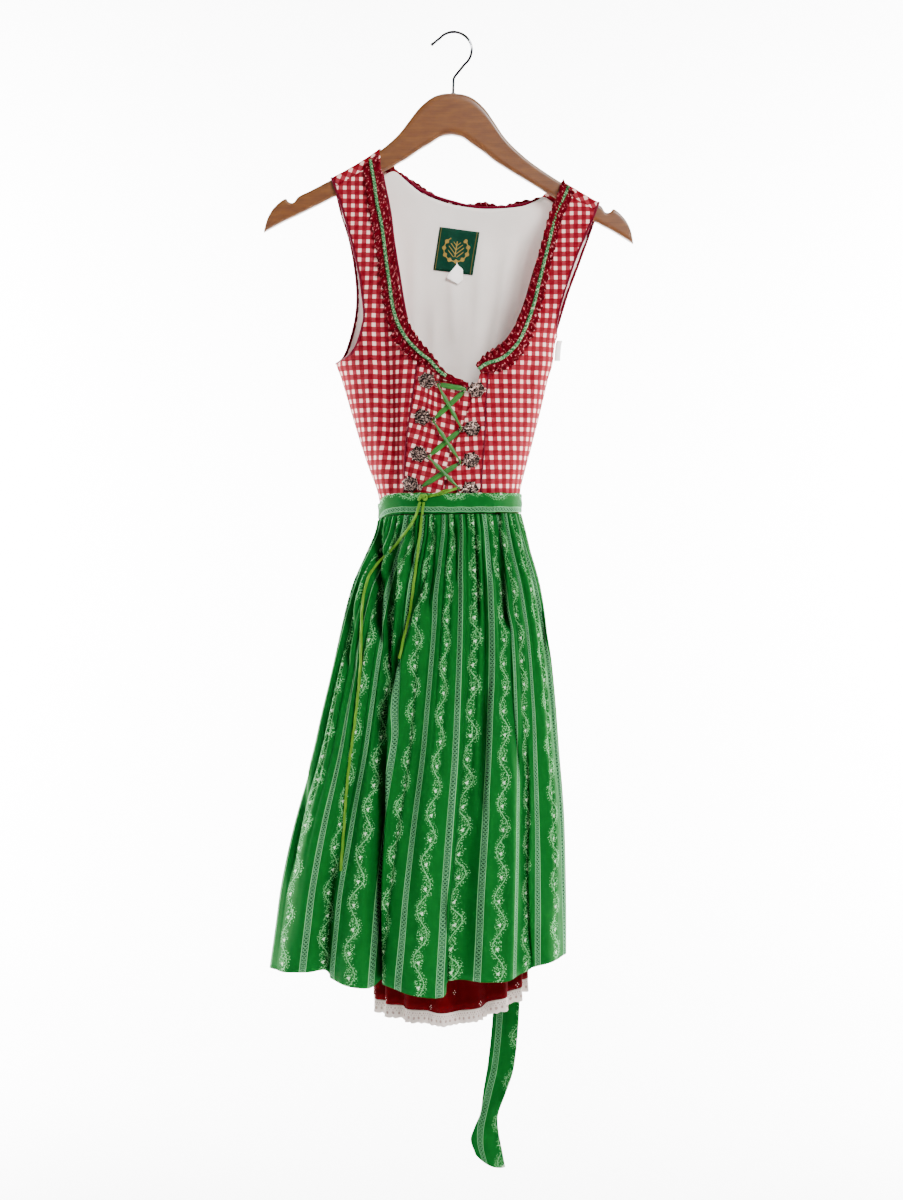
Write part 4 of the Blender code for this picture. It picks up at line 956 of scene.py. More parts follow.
@kept_group
def small_sprigs(name):
    """Tiny three-dotted sprigs, set in half-dropped rows."""
    tree, given, wanted = group(
        name, (("Cloth", "Vector", None), ("Step", "Float", 15.0), ("Size", "Float", 1.0)),
        (("Sprig", "Float"),),
    )
    over, down = split(tree, given["Cloth"])
    step, size = Field(tree, given["Step"]), Field(tree, given["Size"])
    row = (over / step).whole()
    aside = ((over / step).part() - 0.5) * step
    along = ((down / step + row * 0.5).part() - 0.5) * step
    dots = None
    for left, up in ((0, 1.7), (-1.5, -0.4), (1.5, -0.4), (0.2, -2.4)):
        away = ((aside - left) / size).square() + ((along - up) / size).square()
        dot = away.below(0.55, 0.4)
        dots = dot if dots is None else dots.larger(dot)
    tree.links.new(dots.socket, wanted["Sprig"])
    return tree


@kept_group
def twisted_yarn(name):
    """Slanting fibres round a cord: the furrows between them, and a tone that varies at random and is
    partly painted shade, darker in the furrows.
    """
    tree, given, wanted = group(
        name, (("Cloth", "Vector", None), ("Lay", "Float", 1.6), ("Slant", "Float", 0.8)),
        (("Height", "Float"), ("Tone", "Float")),
    )
    over, down = split(tree, given["Cloth"])
    lay, slant = Field(tree, given["Lay"]), Field(tree, given["Slant"])
    fibre = ((down + over * slant) / lay * (2 * pi)).sine() * 0.5 + 0.5
    # The tone is mostly random cloud, and partly the fibres' height: painted shade in the furrows.
    tone_and_furrow_shade = clouds(tree, given["Cloth"], 0.9, 2.0, (1, 0.4, 1)) * 0.6 + fibre * 0.4
    tree.links.new(fibre.socket, wanted["Height"])
    tree.links.new(tone_and_furrow_shade.socket, wanted["Tone"])
    return tree


class Finish:
    """A material under construction: its tree, its shader and the cloth's flat map."""

    def __init__(self, name, roughness=0.8, metallic=0.0, gloss=0.03, **fixed):
        self.made = bpy.data.materials.new(name)
        self.made.use_nodes = True
        self.tree = self.made.node_tree
        self.shader = self.tree.nodes["Principled BSDF"]
        self.shader.inputs["Roughness"].default_value = roughness
        self.shader.inputs["Metallic"].default_value = metallic
        self.shader.inputs["Specular IOR Level"].default_value = gloss
        for label, value in fixed.items():
            self.shader.inputs[label.replace("_", " ")].default_value = value

    def cloth_map(self):
        node = self.tree.nodes.new("ShaderNodeUVMap")
        node.uv_map = "cloth"
        return node.outputs[0]

    def object_map(self):
        return self.tree.nodes.new("ShaderNodeTexCoord").outputs["Object"]

    def colour(self, socket):
        self.tree.links.new(socket, self.shader.inputs["Base Color"])

    def roughness(self, field):
        self.tree.links.new(field.socket, self.shader.inputs["Roughness"])

    def bumped(self, height, depth):
        node = self.tree.nodes.new("ShaderNodeBump")
        node.inputs["Distance"].default_value = depth * MM
        self.tree.links.new(height.socket, node.inputs["Height"])
        self.tree.links.new(node.outputs[0], self.shader.inputs["Normal"])


def on_cloth(name, **settings):
    """A new finish that follows the cloth: the finish, its tree and the cloth's flat map."""
    finish = Finish(name, **settings)
    return finish, finish.tree, finish.cloth_map()


def woven(tree, flat, thread):
    """A plain weave's height and the tone of its yarn."""
    weave = use(tree, plain_weave(), Cloth=flat, Thread=thread)
    return Field(tree, weave["Height"]), Field(tree, weave["Slub"])


MATERIALS = {}
# Finishes that lie in another one's slot
SHARED_SLOTS = {
    "shaded_striped_cotton": "green_striped_cotton", "frayed_ribbon": "green_ribbon",
}


def kept(build):
    """Builds a material the first time it is asked for, and says what slot it is for."""
    def get():
        name = build.__name__.replace("_", " ")
        if name not in MATERIALS:
            MATERIALS[name] = build(name)
        return MATERIALS[name]
    get.slot = SHARED_SLOTS.get(build.__name__, build.__name__)
    return get


def sizes():
    return bpy.context.scene.dirndl_sizes


def dye(name):
    """One of the chosen colours."""
    return (*getattr(bpy.context.scene.dirndl_colours, name), 1)


@kept
def red_gingham(name):
    finish, tree, flat = on_cloth(name, roughness=0.86)
    check = use(
        tree, gingham_check(), Cloth=flat, Check=sizes().check, Yarn=dye("gingham_red"),
        Crossed=dye("gingham_crossed"), Plain=dye("gingham_white"),
    )["Colour"]
    height, slub = woven(tree, flat, 0.5)
    toned = blend(tree, slub.below(0.46, 0.35) * 0.18, check, paint(84, 0, 8))
    lit = blend(tree, (slub - 0.5).larger(0.0) * 0.12, toned, paint(255, 240, 232))
    finish.colour(lit)
    finish.bumped(height + slub * 1.5, 0.12)
    return finish.made


def printed(name, ground, shade=0.0):
    """Printed cotton on this ground; the third argument is painted shade, which darkens it as a
    whole.
    """
    finish, tree, flat = on_cloth(name, roughness=0.78)
    print_on = use(
        tree, chain_and_vine(), Cloth=flat, Repeat=sizes().print_repeat, Ground=ground,
        White=dye("print_white"), Grey=dye("stripe_grey"), Dark=paint(2, 34, 16),
    )["Colour"]
    height, slub = woven(tree, flat, 0.4)
    worn = clouds(tree, flat, 0.035, 3.0, (1.6, 0.7, 1))
    toned = blend(tree, slub.below(0.47, 0.3) * 0.3, print_on, paint(0, 50, 10))
    # Random large patches darken the print, and so does the painted shade given as the third
    # argument.
    lit = blend(tree, worn.below(0.5, 0.5) * 0.18 + shade, toned, paint(0, 44, 8))
    finish.colour(lit)
    finish.bumped(height + slub * 1.3, 0.1)
    return finish.made


@kept
def green_striped_cotton(name):
    return printed(name, dye("apron_green"))


@kept
def shaded_striped_cotton(name):
    """The same cotton on the tails, darkened as a whole by painted shade for the dress's shadow that
    they hang in.
    """
    return printed(name, dye("apron_green"), 0.42)


@kept
def skirt_red(name):
    finish, tree, flat = on_cloth(name, roughness=0.82)
    sprig = use(tree, small_sprigs(), Cloth=flat, Step=33.0, Size=0.6)["Sprig"]
    height, slub = woven(tree, flat, 0.4)
    ground = blend(tree, slub.below(0.5, 0.4) * 0.45, dye("skirt_red"), paint(70, 0, 2))
    finish.colour(blend(tree, Field(tree, sprig) * 0.85, ground, paint(240, 215, 205)))
    finish.bumped(height + slub, 0.1)
    return finish.made


@kept
def ruffle_red(name):
    """The frill's print of small pale flecks on dark red, kept towards its edges, where they are also
    a painted highlight on its swinging folds.
    """
    finish, tree, flat = on_cloth(name, roughness=0.8)
    over, _ = split(tree, flat)
    patches = clouds(tree, flat, 0.34, 2.0)
    # Print flecks, kept off the middle and towards the edges as painted highlight where the frill
    # swings out.
    fleck_and_edge_highlight = (patches * -1).below(-0.62, 0.05) * (over.size() * -1).below(-2.5, 2.0)
    height, slub = woven(tree, flat, 0.4)
    ground = blend(tree, slub.below(0.5, 0.3) * 0.6, dye("ruffle_red"), paint(52, 0, 6))
    finish.colour(blend(tree, fleck_and_edge_highlight * 0.65, ground, paint(214, 118, 122)))
    finish.bumped(height + slub, 0.1)
    return finish.made


@kept
def mint_braid(name):
    """Thick and thin yarns: mint, with pale loops, and painted shade in the gaps between them."""
    finish, tree, flat = on_cloth(name, roughness=0.7)
    loops = clouds(tree, flat, 0.55, 1.0, (1, 0.8, 1))
    fibres = use(tree, twisted_yarn(), Cloth=flat, Lay=2.2, Slant=0.9)
    # Painted shade: the gaps between the loops, where they are low in the bump, are darkened.
    mint_with_gap_shade = blend(tree, loops.below(0.45, 0.08) * 0.8, dye("braid_mint"), paint(14, 48, 26))
    finish.colour(blend(tree, (loops * -1).below(-0.58, 0.06) * 0.7, mint_with_gap_shade, paint(184, 206, 156)))
    finish.bumped(Field(tree, fibres["Height"]) + loops * 2, 0.5)
    return finish.made


@kept
def magenta_piping(name):
    """Twisted yarn in two tones; the darker one lies partly in the furrows as painted shade."""
    finish, tree, flat = on_cloth(name, roughness=0.55, Sheen_Weight=0.03)
    fibres = use(tree, twisted_yarn(), Cloth=flat, Lay=0.8, Slant=1.0)
    tone_and_furrow_shade = Field(tree, fibres["Tone"])
    finish.colour(blend(tree, tone_and_furrow_shade.below(0.5, 0.35), dye("piping"), paint(70, 0, 18)))
    finish.bumped(Field(tree, fibres["Height"]), 0.15)
    return finish.made


@kept
def green_ribbon(name):
    finish, tree, flat = on_cloth(name, roughness=0.42, gloss=0.4)
    threads = clouds(tree, flat, 1.0, 2.0, (2.6, 0.05, 1))
    finish.colour(blend(tree, threads.below(0.5, 0.3), dye("ribbon"), paint(6, 52, 6)))
    finish.bumped(threads, 0.15)
    return finish.made


@kept
def frayed_ribbon(name):
    finish, tree, flat = on_cloth(name, roughness=0.5)
    threads = clouds(tree, flat, 1.0, 2.0, (2.2, 0.05, 1))
    finish.colour(blend(tree, threads.below(0.5, 0.3), dye("frayed"), paint(44, 104, 18)))
    finish.bumped(threads, 0.2)
    return finish.made


@kept
def white_lining(name):
    finish, tree, flat = on_cloth(name, roughness=0.9, Sheen_Weight=0.05)
    height, slub = woven(tree, flat, 0.35)
    soft = clouds(tree, flat, 0.02, 3.0)
    toned = blend(tree, soft.below(0.48, 0.4) * 0.25, dye("lining"), paint(186, 180, 170))
    finish.colour(toned)
    finish.bumped(height + slub, 0.06)
    return finish.made


@kept
def cotton_lace(name):
    """A narrow net: eyelets and a picot edge drawn deep and darkened as painted shade, with painted
    shade in the net's hollows too.
    """
    finish, tree, flat = on_cloth(name, roughness=0.9)
    over, down = split(tree, flat)

    def eyes(step, level, wide, phase=0.0):
        aside = ((over / step + phase).part() - 0.5) * step
        return (aside.square() + ((down - level) * 0.9).square()).below(wide, wide * 0.5)

    shaded_eyelets = eyes(7.0, 9.3, 2.6).larger(eyes(3.5, 3.6, 0.7)).larger(eyes(3.5, 6.0, 0.4, 0.5))
    net = ((over + down) * (pi / 0.7)).sine() * ((over - down) * (pi / 0.7)).sine()
    # Painted shade: the net is darkened where it is low in its bump.
    shade = blend(tree, (net * 0.5 + 0.5) * 0.25, dye("lace"), paint(176, 168, 160))
    # Painted shade: the eyelets and picot holes are darkened.
    finish.colour(blend(tree, shaded_eyelets * 0.75, shade, paint(128, 104, 98)))
    finish.bumped(net * 0.4 - shaded_eyelets, 0.3)
    return finish.made


@kept
def old_silver(name):
    finish = Finish(name, roughness=0.38, metallic=1.0, gloss=0.5)
    tree, here = finish.tree, finish.object_map()
    grain = clouds(tree, here, 900.0, 3.0)
    tarnish = clouds(tree, here, 560.0, 1.0)
    finish.colour(blend(tree, tarnish.below(0.54, 0.12), dye("silver"), paint(22, 13, 11)))
    finish.roughness(grain * 0.35 + 0.22)
    finish.bumped(grain, 0.25)
    return finish.made


@kept
def chromed_wire(name):
    finish = Finish(name, roughness=0.16, metallic=1.0, gloss=0.5)
    tree, here = finish.tree, finish.object_map()
    scuffs = clouds(tree, here, 50.0)
    dull = scuffs.below(0.58, 0.12) * 0.95
    finish.colour(blend(tree, dull, paint(176, 176, 180), paint(12, 12, 14)))
    finish.roughness(scuffs * 0.2 + 0.08)
    return finish.made


@kept
def varnished_wood(name):
    """Straight-grained beech under satin varnish, with fine pores and a few broad bands."""
    finish, tree, here = on_cloth(
        name, roughness=0.38, gloss=0.4, Coat_Weight=0.12, Coat_Roughness=0.25)
    bands = clouds(tree, here, 0.05, 3.0, (1, 3.2, 1))
    lines = clouds(tree, here, 0.5, 3.0, (0.05, 2.6, 1))
    pores = clouds(tree, here, 1.4, 2.0, (0.12, 2.4, 1))
    wood = blend(tree, bands.below(0.5, 0.4) * 0.6, dye("wood"), dye("wood_dark"))
    grained = blend(tree, lines.below(0.46, 0.2) * 0.45, wood, dye("wood_dark"))
    finish.colour(blend(tree, pores.below(0.36, 0.1) * 0.5, grained, paint(66, 30, 8)))
    finish.roughness(lines * 0.15 + 0.27)
    finish.bumped(pores, 0.05)
    return finish.made


@kept
def label_green(name):
    """A woven satin label with a plain sprig and wreath in gold thread."""
    finish, tree, flat = on_cloth(name, roughness=0.5)
    over, down = split(tree, flat)
    aside, fall = over, down - LABEL_MIDDLE
    reach = (aside.square() + fall.square()).root()
    turn = aside.math("ARCTAN2", fall)
    leaves = ((turn * 11).sine() * 0.5 + 0.5) * 2.6
    from_ring = (reach - WREATH).size()
    wreath = from_ring.below(0.6, 0.5).larger((from_ring - leaves).below(0.0, 0.5))
    open_top = (turn.size() - 2.55).below(0.0, 0.05)
    stem = aside.size().below(0.6, 0.3) * (fall.size() - 9.0).below(0.0, 0.5)
    rows_of_twigs = (aside.size() + fall - 1.0).math("PINGPONG", 2.6).below(0.6, 0.4)
    twigs = rows_of_twigs * (reach - 9.6).below(0.0, 0.5)
    gold = (wreath * open_top).larger(stem).larger(twigs)
    border = (aside.size() - 21.3).size().below(0.35, 0.3)
    threads = clouds(tree, flat, 1.0, 1.0, (0.08, 3.0, 1))
    ground = blend(tree, threads.below(0.5, 0.3) * 0.5, dye("label"), paint(8, 44, 32))
    finish.colour(blend(tree, gold.larger(border * 0.5), ground, paint(132, 108, 52)))
    finish.bumped(threads + gold, 0.12)
    return finish.made


@kept
def tag_white(name):
    finish, tree, flat = on_cloth(name, roughness=0.6)
    height, slub = woven(tree, flat, 0.3)
    finish.colour(blend(tree, slub * 0.2, paint(255, 254, 250), paint(230, 228, 222)))
    finish.bumped(height, 0.05)
    return finish.made


@kept
def pale_backdrop(name):
    finish = Finish(name, roughness=0.95)
    tree, here = finish.tree, finish.object_map()
    grain = clouds(tree, here, 3.0, 2.0)
    finish.colour(blend(tree, grain * 0.05, paint(250, 250, 250), paint(238, 238, 238)))
    return finish.made


# Bodice

PLACKET_TOP = -416
PLACKET_HALF = 17
PLACKET_IN = 2.4
BODICE_CREASES = {
    "front_side_left": (
        Crease(-112, -392, -88, -520, 2.4, 5), Crease(-124, -420, -97, -535, 1.8, 6),
        Crease(-92, -330, -86, -430, 2.0, 7),
    ),
    "front_side_right": (
        Crease(92, -372, 62, -500, 2.2, 8), Crease(60, -420, 52, -540, 1.5, 5),
        Crease(104, -340, 80, -420, 1.2, 7),
    ),
    "front_centre_left": (Crease(-30, -400, -42, -500, 1.0, 5),),
    "front_centre_right": (Crease(26, -400, 22, -520, 1.0, 5),),
    "back_side_left": (Crease(-100, -300, -80, -500, 3, 9), Crease(-60, -280, -52, -480, 2, 10)),
    "back_side_right": (Crease(110, -300, 70, -510, 3, 10), Crease(70, -330, 48, -500, 2, 9)),
    "back_centre": (Crease(-20, -260, -22, -500, 2, 12), Crease(38, -260, 20, -500, 2, 12)),
}


def edge(rows, below=None):
    """An edge as a function of height; under the height below it is the side seam."""
    def at(height):
        if below is not None and height <= below:
            return -1000 if rows[0].across < 0 else 1000
        return read(rows, height)
    return at


def centre_gap(side):
    """The centre front edge on one side of the opening."""
    return lambda height: read(CENTRE_LINE, height) + side * read(CENTRE_GAP, height)


def shoulder_edge(rows, drop):
    """The level of a shoulder seam, from the panel's left edge to its right edge."""
    row = rows[0] if drop == FRONT_SEAM_DROP else rows[-1]
    low, high = sorted((row.outer, row.inner))

    def at(share):
        across = mix(low, high, share)
        return Place(across, crest(across) - drop - SEAM)
    return at


def neck_edge(rows, start=0, end=1):
    """The level of a neck edge, from the panel's left edge to its right edge."""
    return lambda share: Place(None, read(rows, mix(start, end, share)))


def panel(name, left, right, top, size, is_front, plumb, grain):
    """A bodice panel between two edges read by height, from its top edge to the waist.

    Its warp hangs plumb from the place plumb, or turned from there by grain degrees.
    """
    creases = BODICE_CREASES[name]

    def place(share, down):
        head = top(share)
        height = mix(head.height, WAIST, down)
        start, end = SIDE_SEAM, pi - SIDE_SEAM
        if left and left(height) > column(BODY, "left", height) + 0.6:
            start = angle_at(left(height) + SEAM, height)
        if right and right(height) < column(BODY, "right", height) - 0.6:
            end = angle_at(right(height) - SEAM, height)
        angle = mix(start, end, share)
        if head.across is not None:
            angle = mix(angle_at(head.across, height), angle, ease(down * 25))
        here = wall(angle, height, is_front)
        edges = within(share, 7)
        pushed = creased(creases, here.x, height) * edges
        pucker = 0.25 * noise.noise(Vector((here.x * 0.12, 3.0 if is_front else 9.0, height * 0.05)))
        seam = 0.22 * sin(height * 0.9 + here.x * 0.1) * (bump(share * 18) + bump((1 - share) * 18))
        here.y += (pushed + pucker + seam) * (1 if is_front else -1)
        return here

    cloth(name, size, place, CLOTH, red_gingham, flat_plumb(plumb, grain))


def build_bodice():
    panel("front_side_left", edge(ARM_LEFT, ARM_BOTTOM["left"]), edge(NECK_LEFT),
          shoulder_edge(SHOULDER_LEFT, FRONT_SEAM_DROP), (34, 130), True, -66, 1.5)
    panel("front_side_right", edge(NECK_RIGHT), edge(ARM_RIGHT, ARM_BOTTOM["right"]),
          shoulder_edge(SHOULDER_RIGHT, FRONT_SEAM_DROP), (30, 110), True, 54, -2)
    panel("front_centre_left", edge(NECK_LEFT), centre_gap(-1), neck_edge(CENTRE_TOP_LEFT),
          (26, 60), True, -30, 14)
    panel("front_centre_right", centre_gap(1), edge(NECK_RIGHT), neck_edge(CENTRE_TOP_RIGHT),
          (22, 60), True, 22, -4)
    panel("back_side_left", edge(BACK_ARM_LEFT, ARM_BOTTOM["left"]), edge(BACK_NECK_LEFT),
          shoulder_edge(SHOULDER_LEFT, BACK_SEAM_DROP), (30, 90), False, -80, 1)
    panel("back_side_right", edge(BACK_NECK_RIGHT), edge(BACK_ARM_RIGHT, ARM_BOTTOM["right"]),
          shoulder_edge(SHOULDER_RIGHT, BACK_SEAM_DROP), (28, 90), False, 80, -1)
    panel("back_centre", edge(BACK_NECK_LEFT), edge(BACK_NECK_RIGHT),
          neck_edge(BACK_NECK_DIP, -40, 77), (32, 80), False, 5, 0)


def build_placket():
    """The strip of gingham behind the front opening."""
    def place(share, down):
        height = mix(PLACKET_TOP, WAIST + 2, down)
        across = read(CENTRE_LINE, height) + mix(-PLACKET_HALF, PLACKET_HALF, share)
        return lifted(front, across, height, -PLACKET_IN)

    cloth("front_placket", (8, 30), place, THIN_CLOTH, red_gingham, flat_plumb(0, 7))


def build_shoulders():
    """The bias pieces that join front and back over the hanger."""
    for name, rows in (("shoulder_left", SHOULDER_LEFT), ("shoulder_right", SHOULDER_RIGHT)):
        def place(share, down, rows=rows):
            run = mix(-FRONT_RUN + SEAM, BACK_RUN - SEAM, down)
            across = mix(column(rows, "outer", run), column(rows, "inner", run), share)
            return over_shoulder(across, -run)
        cloth(name, (16, 30), place, CLOTH, red_gingham, flat_from_middle(45))


LINING_CREASES = table(
    Crease, (-46, -215, -52, -400, 1.6, 7), (-8, -205, 2, -380, 1.4, 6),
    (34, -215, 22, -420, 1.9, 8), (66, -225, 40, -430, 1.6, 6), (-74, -190, -78, -330, 1.3, 5),
    (14, -290, 8, -520, 1.8, 9), (-24, -300, -30, -500, 1.5, 6), (88, -215, 70, -350, 1.2, 5),
    (52, -330, 30, -520, 1.4, 6), (-60, -330, -50, -520, 1.6, 8),
)


def lining_face(angle, height, share, out=0.0):
    """The back lining's surface: it hangs loose inside, with soft upright folds."""
    at_edge = within(share, 9)
    loose = ease((-225 - height) / 90) * (1 - 0.75 * ease((-500 - height) / 45))
    soft = loose * (8 + 1.2 * sin(angle * 8 + height / 80))
    across = wall(angle, height, False).x
    soft += creased(LINING_CREASES, across, height) * 2
    soft += 0.9 * loose * noise.noise(Vector((across * 0.05, 1.7, height * 0.02)))
    inset = LINING_IN + max(soft, -0.3)
    if height > ARM_BOTTOM["left"]:
        inset = mix(1.4, inset, at_edge)
    return lifted_wall(angle, height, False, -inset - out, folded=False)


def build_lining():
    """The back lining, cut a little above the neck and in from the armholes."""
    left, right = edge(BACK_ARM_LEFT), edge(BACK_ARM_RIGHT)

    def place(share, down):
        top_across = mix(LINING_TOP[0].across, LINING_TOP[-1].across, share)
        height = mix(read(LINING_TOP, top_across) + 1.8, WAIST + 6, down)
        start = angle_at(left(height) + 0.6, height) if height > ARM_BOTTOM["left"] else 0
        end = angle_at(right(height) - 0.6, height) if height > ARM_BOTTOM["right"] else pi
        angle = mix(max(start, 0.1), min(end, pi - 0.1), share)
        angle = mix(angle_at(top_across, height), angle, ease(down * 12))
        return lining_face(angle, height, share)

    cloth("lining_back", (80, 80), place, THIN_CLOTH, white_lining, name="back-lining")


# Trimming on the bodice

def ruffle_line(rows, count, behind=False):
    """The ruffle's middle as pairs for over_shoulder(), with its half width."""
    pairs = []
    for row in rows:
        along = max(along_of(row.across, row.height), 2.2)
        half = getattr(row, "half_width", BACK_RUFFLE_HALF)
        pairs.append(Vector((row.across, -along if behind else along, half)))
    return smooth_line(pairs, count)


def ruffle(name, rows, waves, behind=False):
    """A gathered strip along the neck: its edges swing out and in, its middle is sewn flat."""
    steps = 10
    count = waves * steps
    line = ruffle_line(rows, count + 1, behind)
    base = BACK_RUFFLE_OUT if behind else RUFFLE_OUT

    def place(share, down):
        spot = round(down * count)
        here = line[spot]
        ahead = line[min(spot + 1, count)] - line[max(spot - 1, 0)]
        side = Vector((-ahead.y, ahead.x)).normalized()
        reach = (share - 0.5) * 2
        phase = spot / steps
        number = int(phase + 0.5) if reach > 0 else int(phase) + 400
        uneven = mix(0.65, 1.25, chance(number, 3))
        swing = sin(2 * pi * (phase + (0.5 if reach > 0 else 0)) + 0.6 * sin(phase * 1.7))
        edgewise = abs(reach) ** 1.2
        scallop = mix(0.16, 0.06, (here.z - 3) / 5) if here.z < 8 and not behind else 0.05
        width = here.z * (1 + scallop * swing * edgewise - 0.05)
        if behind and reach * side.y > 0:
            width += 1.6
        first = here.x + side.x * width * reach
        second = here.y + side.y * width * reach
        second = max(second, 0.6) if not behind else min(second, -0.6)
        level = over_shoulder(first, second).z
        near_crest = ease((level + 235) / 30)
        top = 1 - ease((crest(first) - level) / 14)
        wave = swing * uneven * edgewise * min(here.z / 6.6, 1) * (1.4 if behind else 3.0 + 1.4 * top)
        return lifted(over_shoulder, first, second, base + 0.7 * near_crest + 2.2 * top + wave)

    cloth(name, (10, count), place, 0.7, ruffle_red)


def away(point):
    """Outward from the dress's middle, level with the point; upward over a shoulder."""
    return Vector((0, point.y, 12 if point.z > -185 else 0.01))


def trim_line(rows, count, out):
    line = []
    for pair in ruffle_line(rows, count):
        near_crest = ease((over_shoulder(pair.x, max(pair.y, 0.6)).z + 235) / 30)
        line.append(lifted(over_shoulder, pair.x, pair.y, out + 0.9 * near_crest))
    return line


def braid(name, rows):
    """A twisted braid sewn down the middle of the ruffle."""
    mesh = new_mesh()
    line = trim_line(rows, 420, BRAID_OUT)
    if name == "braid_left":
        line = line[:390]
    else:
        sunk = [point + Vector((0, 3.4 * bump((point.z + 210) / 34), 0)) for point in line]
        line = [low if low.z < -182 else point for low, point in zip(sunk, line)]
    add_rope(mesh, line, 2.0, 2, 6.5, away, sides=8)
    placed(mesh, name, mint_braid)


def piping(node, line, radius, outward=FORWARD, name=None):
    mesh = new_mesh()
    add_tube(mesh, line, radius, radius, lambda point: outward, sides=8)
    placed(mesh, node, magenta_piping, name)


def beside(edge_points, hole, distance, closed=False):
    """Points of an edge moved off it by this distance, along the cloth, towards a hole."""
    last = len(edge_points) - 1
    moved = []
    for spot, (point, normal) in enumerate(edge_points):
        before = edge_points[spot - 1 if closed else max(spot - 1, 0)][0]
        after = edge_points[(spot + 1) % (last + 1) if closed else min(spot + 1, last)][0]
        side = (after - before).cross(normal).normalized()
        if side.dot(hole - point) < 0:
            side = -side
        moved.append(point + side * distance)
    return moved


def edge_point(across, height, is_front, out=0.0):
    """A point of the wall's edge and the wall's level normal there."""
    angle = angle_at(across, height)
    here = lifted_wall(angle, height, is_front, out)
    return here, lifted_wall(angle, height, is_front, out + 1) - here


def build_piping():
    """Piping bound round the neck's edge and laid along the princess seams."""
    for name, rows, low in (("neck_piping_left", NECK_LEFT, -340),
                            ("neck_piping_right", NECK_RIGHT, -322)):
        high = rows[1].height - 2
        heights = [mix(high, low, step / 60) for step in range(61)]
        edges = [edge_point(read(rows, height), height, True, 0.2) for height in heights]
        piping(name, beside(edges, NECK_MIDDLE, NECK_PIPING_OFF), 1.5)

    fine = smooth_line([Vector((row.across, row.height)) for row in BACK_NECK], 70)
    edges = [edge_point(spot.x, spot.y, False, -1.4) for spot in fine]
    line = beside(edges, ABOVE_BACK_NECK, NECK_PIPING_OFF)
    piping("neck_piping_back", line, 1.7, name="back-neck-piping")

    for name, rows, low in (("princess_piping_left", NECK_LEFT, -392),
                            ("princess_piping_right", NECK_RIGHT, -400)):
        heights = [mix(low, -537, step / 50) for step in range(51)]
        points = [edge_point(read(rows, height), height, True, 1.3)[0] for height in heights]
        piping(name, points, 0.8)


def build_armholes():
    """The piping round each armhole, which the hanger's arm passes through."""
    for side, ahead_rows, behind_rows, shoulder in (
        ("left", ARM_LEFT, BACK_ARM_LEFT, SHOULDER_LEFT),
        ("right", ARM_RIGHT, BACK_ARM_RIGHT, SHOULDER_RIGHT),
    ):
        bottom = ARM_BOTTOM[side]
        front_top, back_top = ARM_TOP[side]
        low = Vector((column(BODY, side, bottom), 0, bottom))
        edges = [edge_point(row.across, row.height, True) for row in ahead_rows
                 if bottom + 3 < row.height < front_top]
        edges.append((low, Vector((low.x, 0, 0)).normalized()))
        edges += [edge_point(row.across, row.height, False) for row in behind_rows[::-1]
                  if bottom + 3 < row.height < back_top]
        for run in SHOULDER_RUNS:
            across = column(shoulder, "outer", run)
            over = lifted(over_shoulder, across, -run, SEAM)
            edges.append((over, lifted(over_shoulder, across, -run, 1) - over))
        points = beside(edges, ARM_HOLE[side], 1.3, closed=True)
        line = smooth_line(points + points[:1], 220)
        piping(f"armhole_piping_{side}", line, 1.4, ACROSS)


# Hooks, lacing, label

def build_hooks():
    """Filigree rosettes, each with a short bar and a ring that the lacing runs through."""
    for side, hooks, rings in (("left", HOOKS_LEFT, RINGS_LEFT), ("right", HOOKS_RIGHT, RINGS_RIGHT)):
        for number, (hook, ring) in enumerate(zip(hooks, rings), start=1):
            base = lifted(front, hook.across, hook.height, CLOTH / 2 + CLEAR) * MM
            top = lifted(front, hook.across, hook.height, CLOTH / 2 + CLEAR + 1) * MM
            outward = (top - base).normalized()
            centre = lifted(front, ring.across, ring.height, RING_OUT) * MM
            towards = centre - base
            aim = (towards - outward * towards.dot(outward)).normalized()
            facing = Matrix((aim, outward.cross(aim), outward)).transposed().to_4x4()
            mesh = new_mesh()
            rosette(mesh, Matrix.Translation(base) @ facing, sizes().rosette / 2)
            add_ring(mesh, Matrix.Translation(centre) @ facing, 3.0, 0.85)
            start = base + outward * 1.6 * MM
            reach = (centre - start).length
            end = start + (centre - start) * (1 - 2.4 * MM / reach)
            line = [(start / MM).lerp(end / MM, step / 6) for step in range(7)]
            add_tube(mesh, line, lambda share: mix(2.4, 1.1, share), 0.8, lambda point: outward, 8)
            placed(mesh, f"hook_{side}_{number}", old_silver)


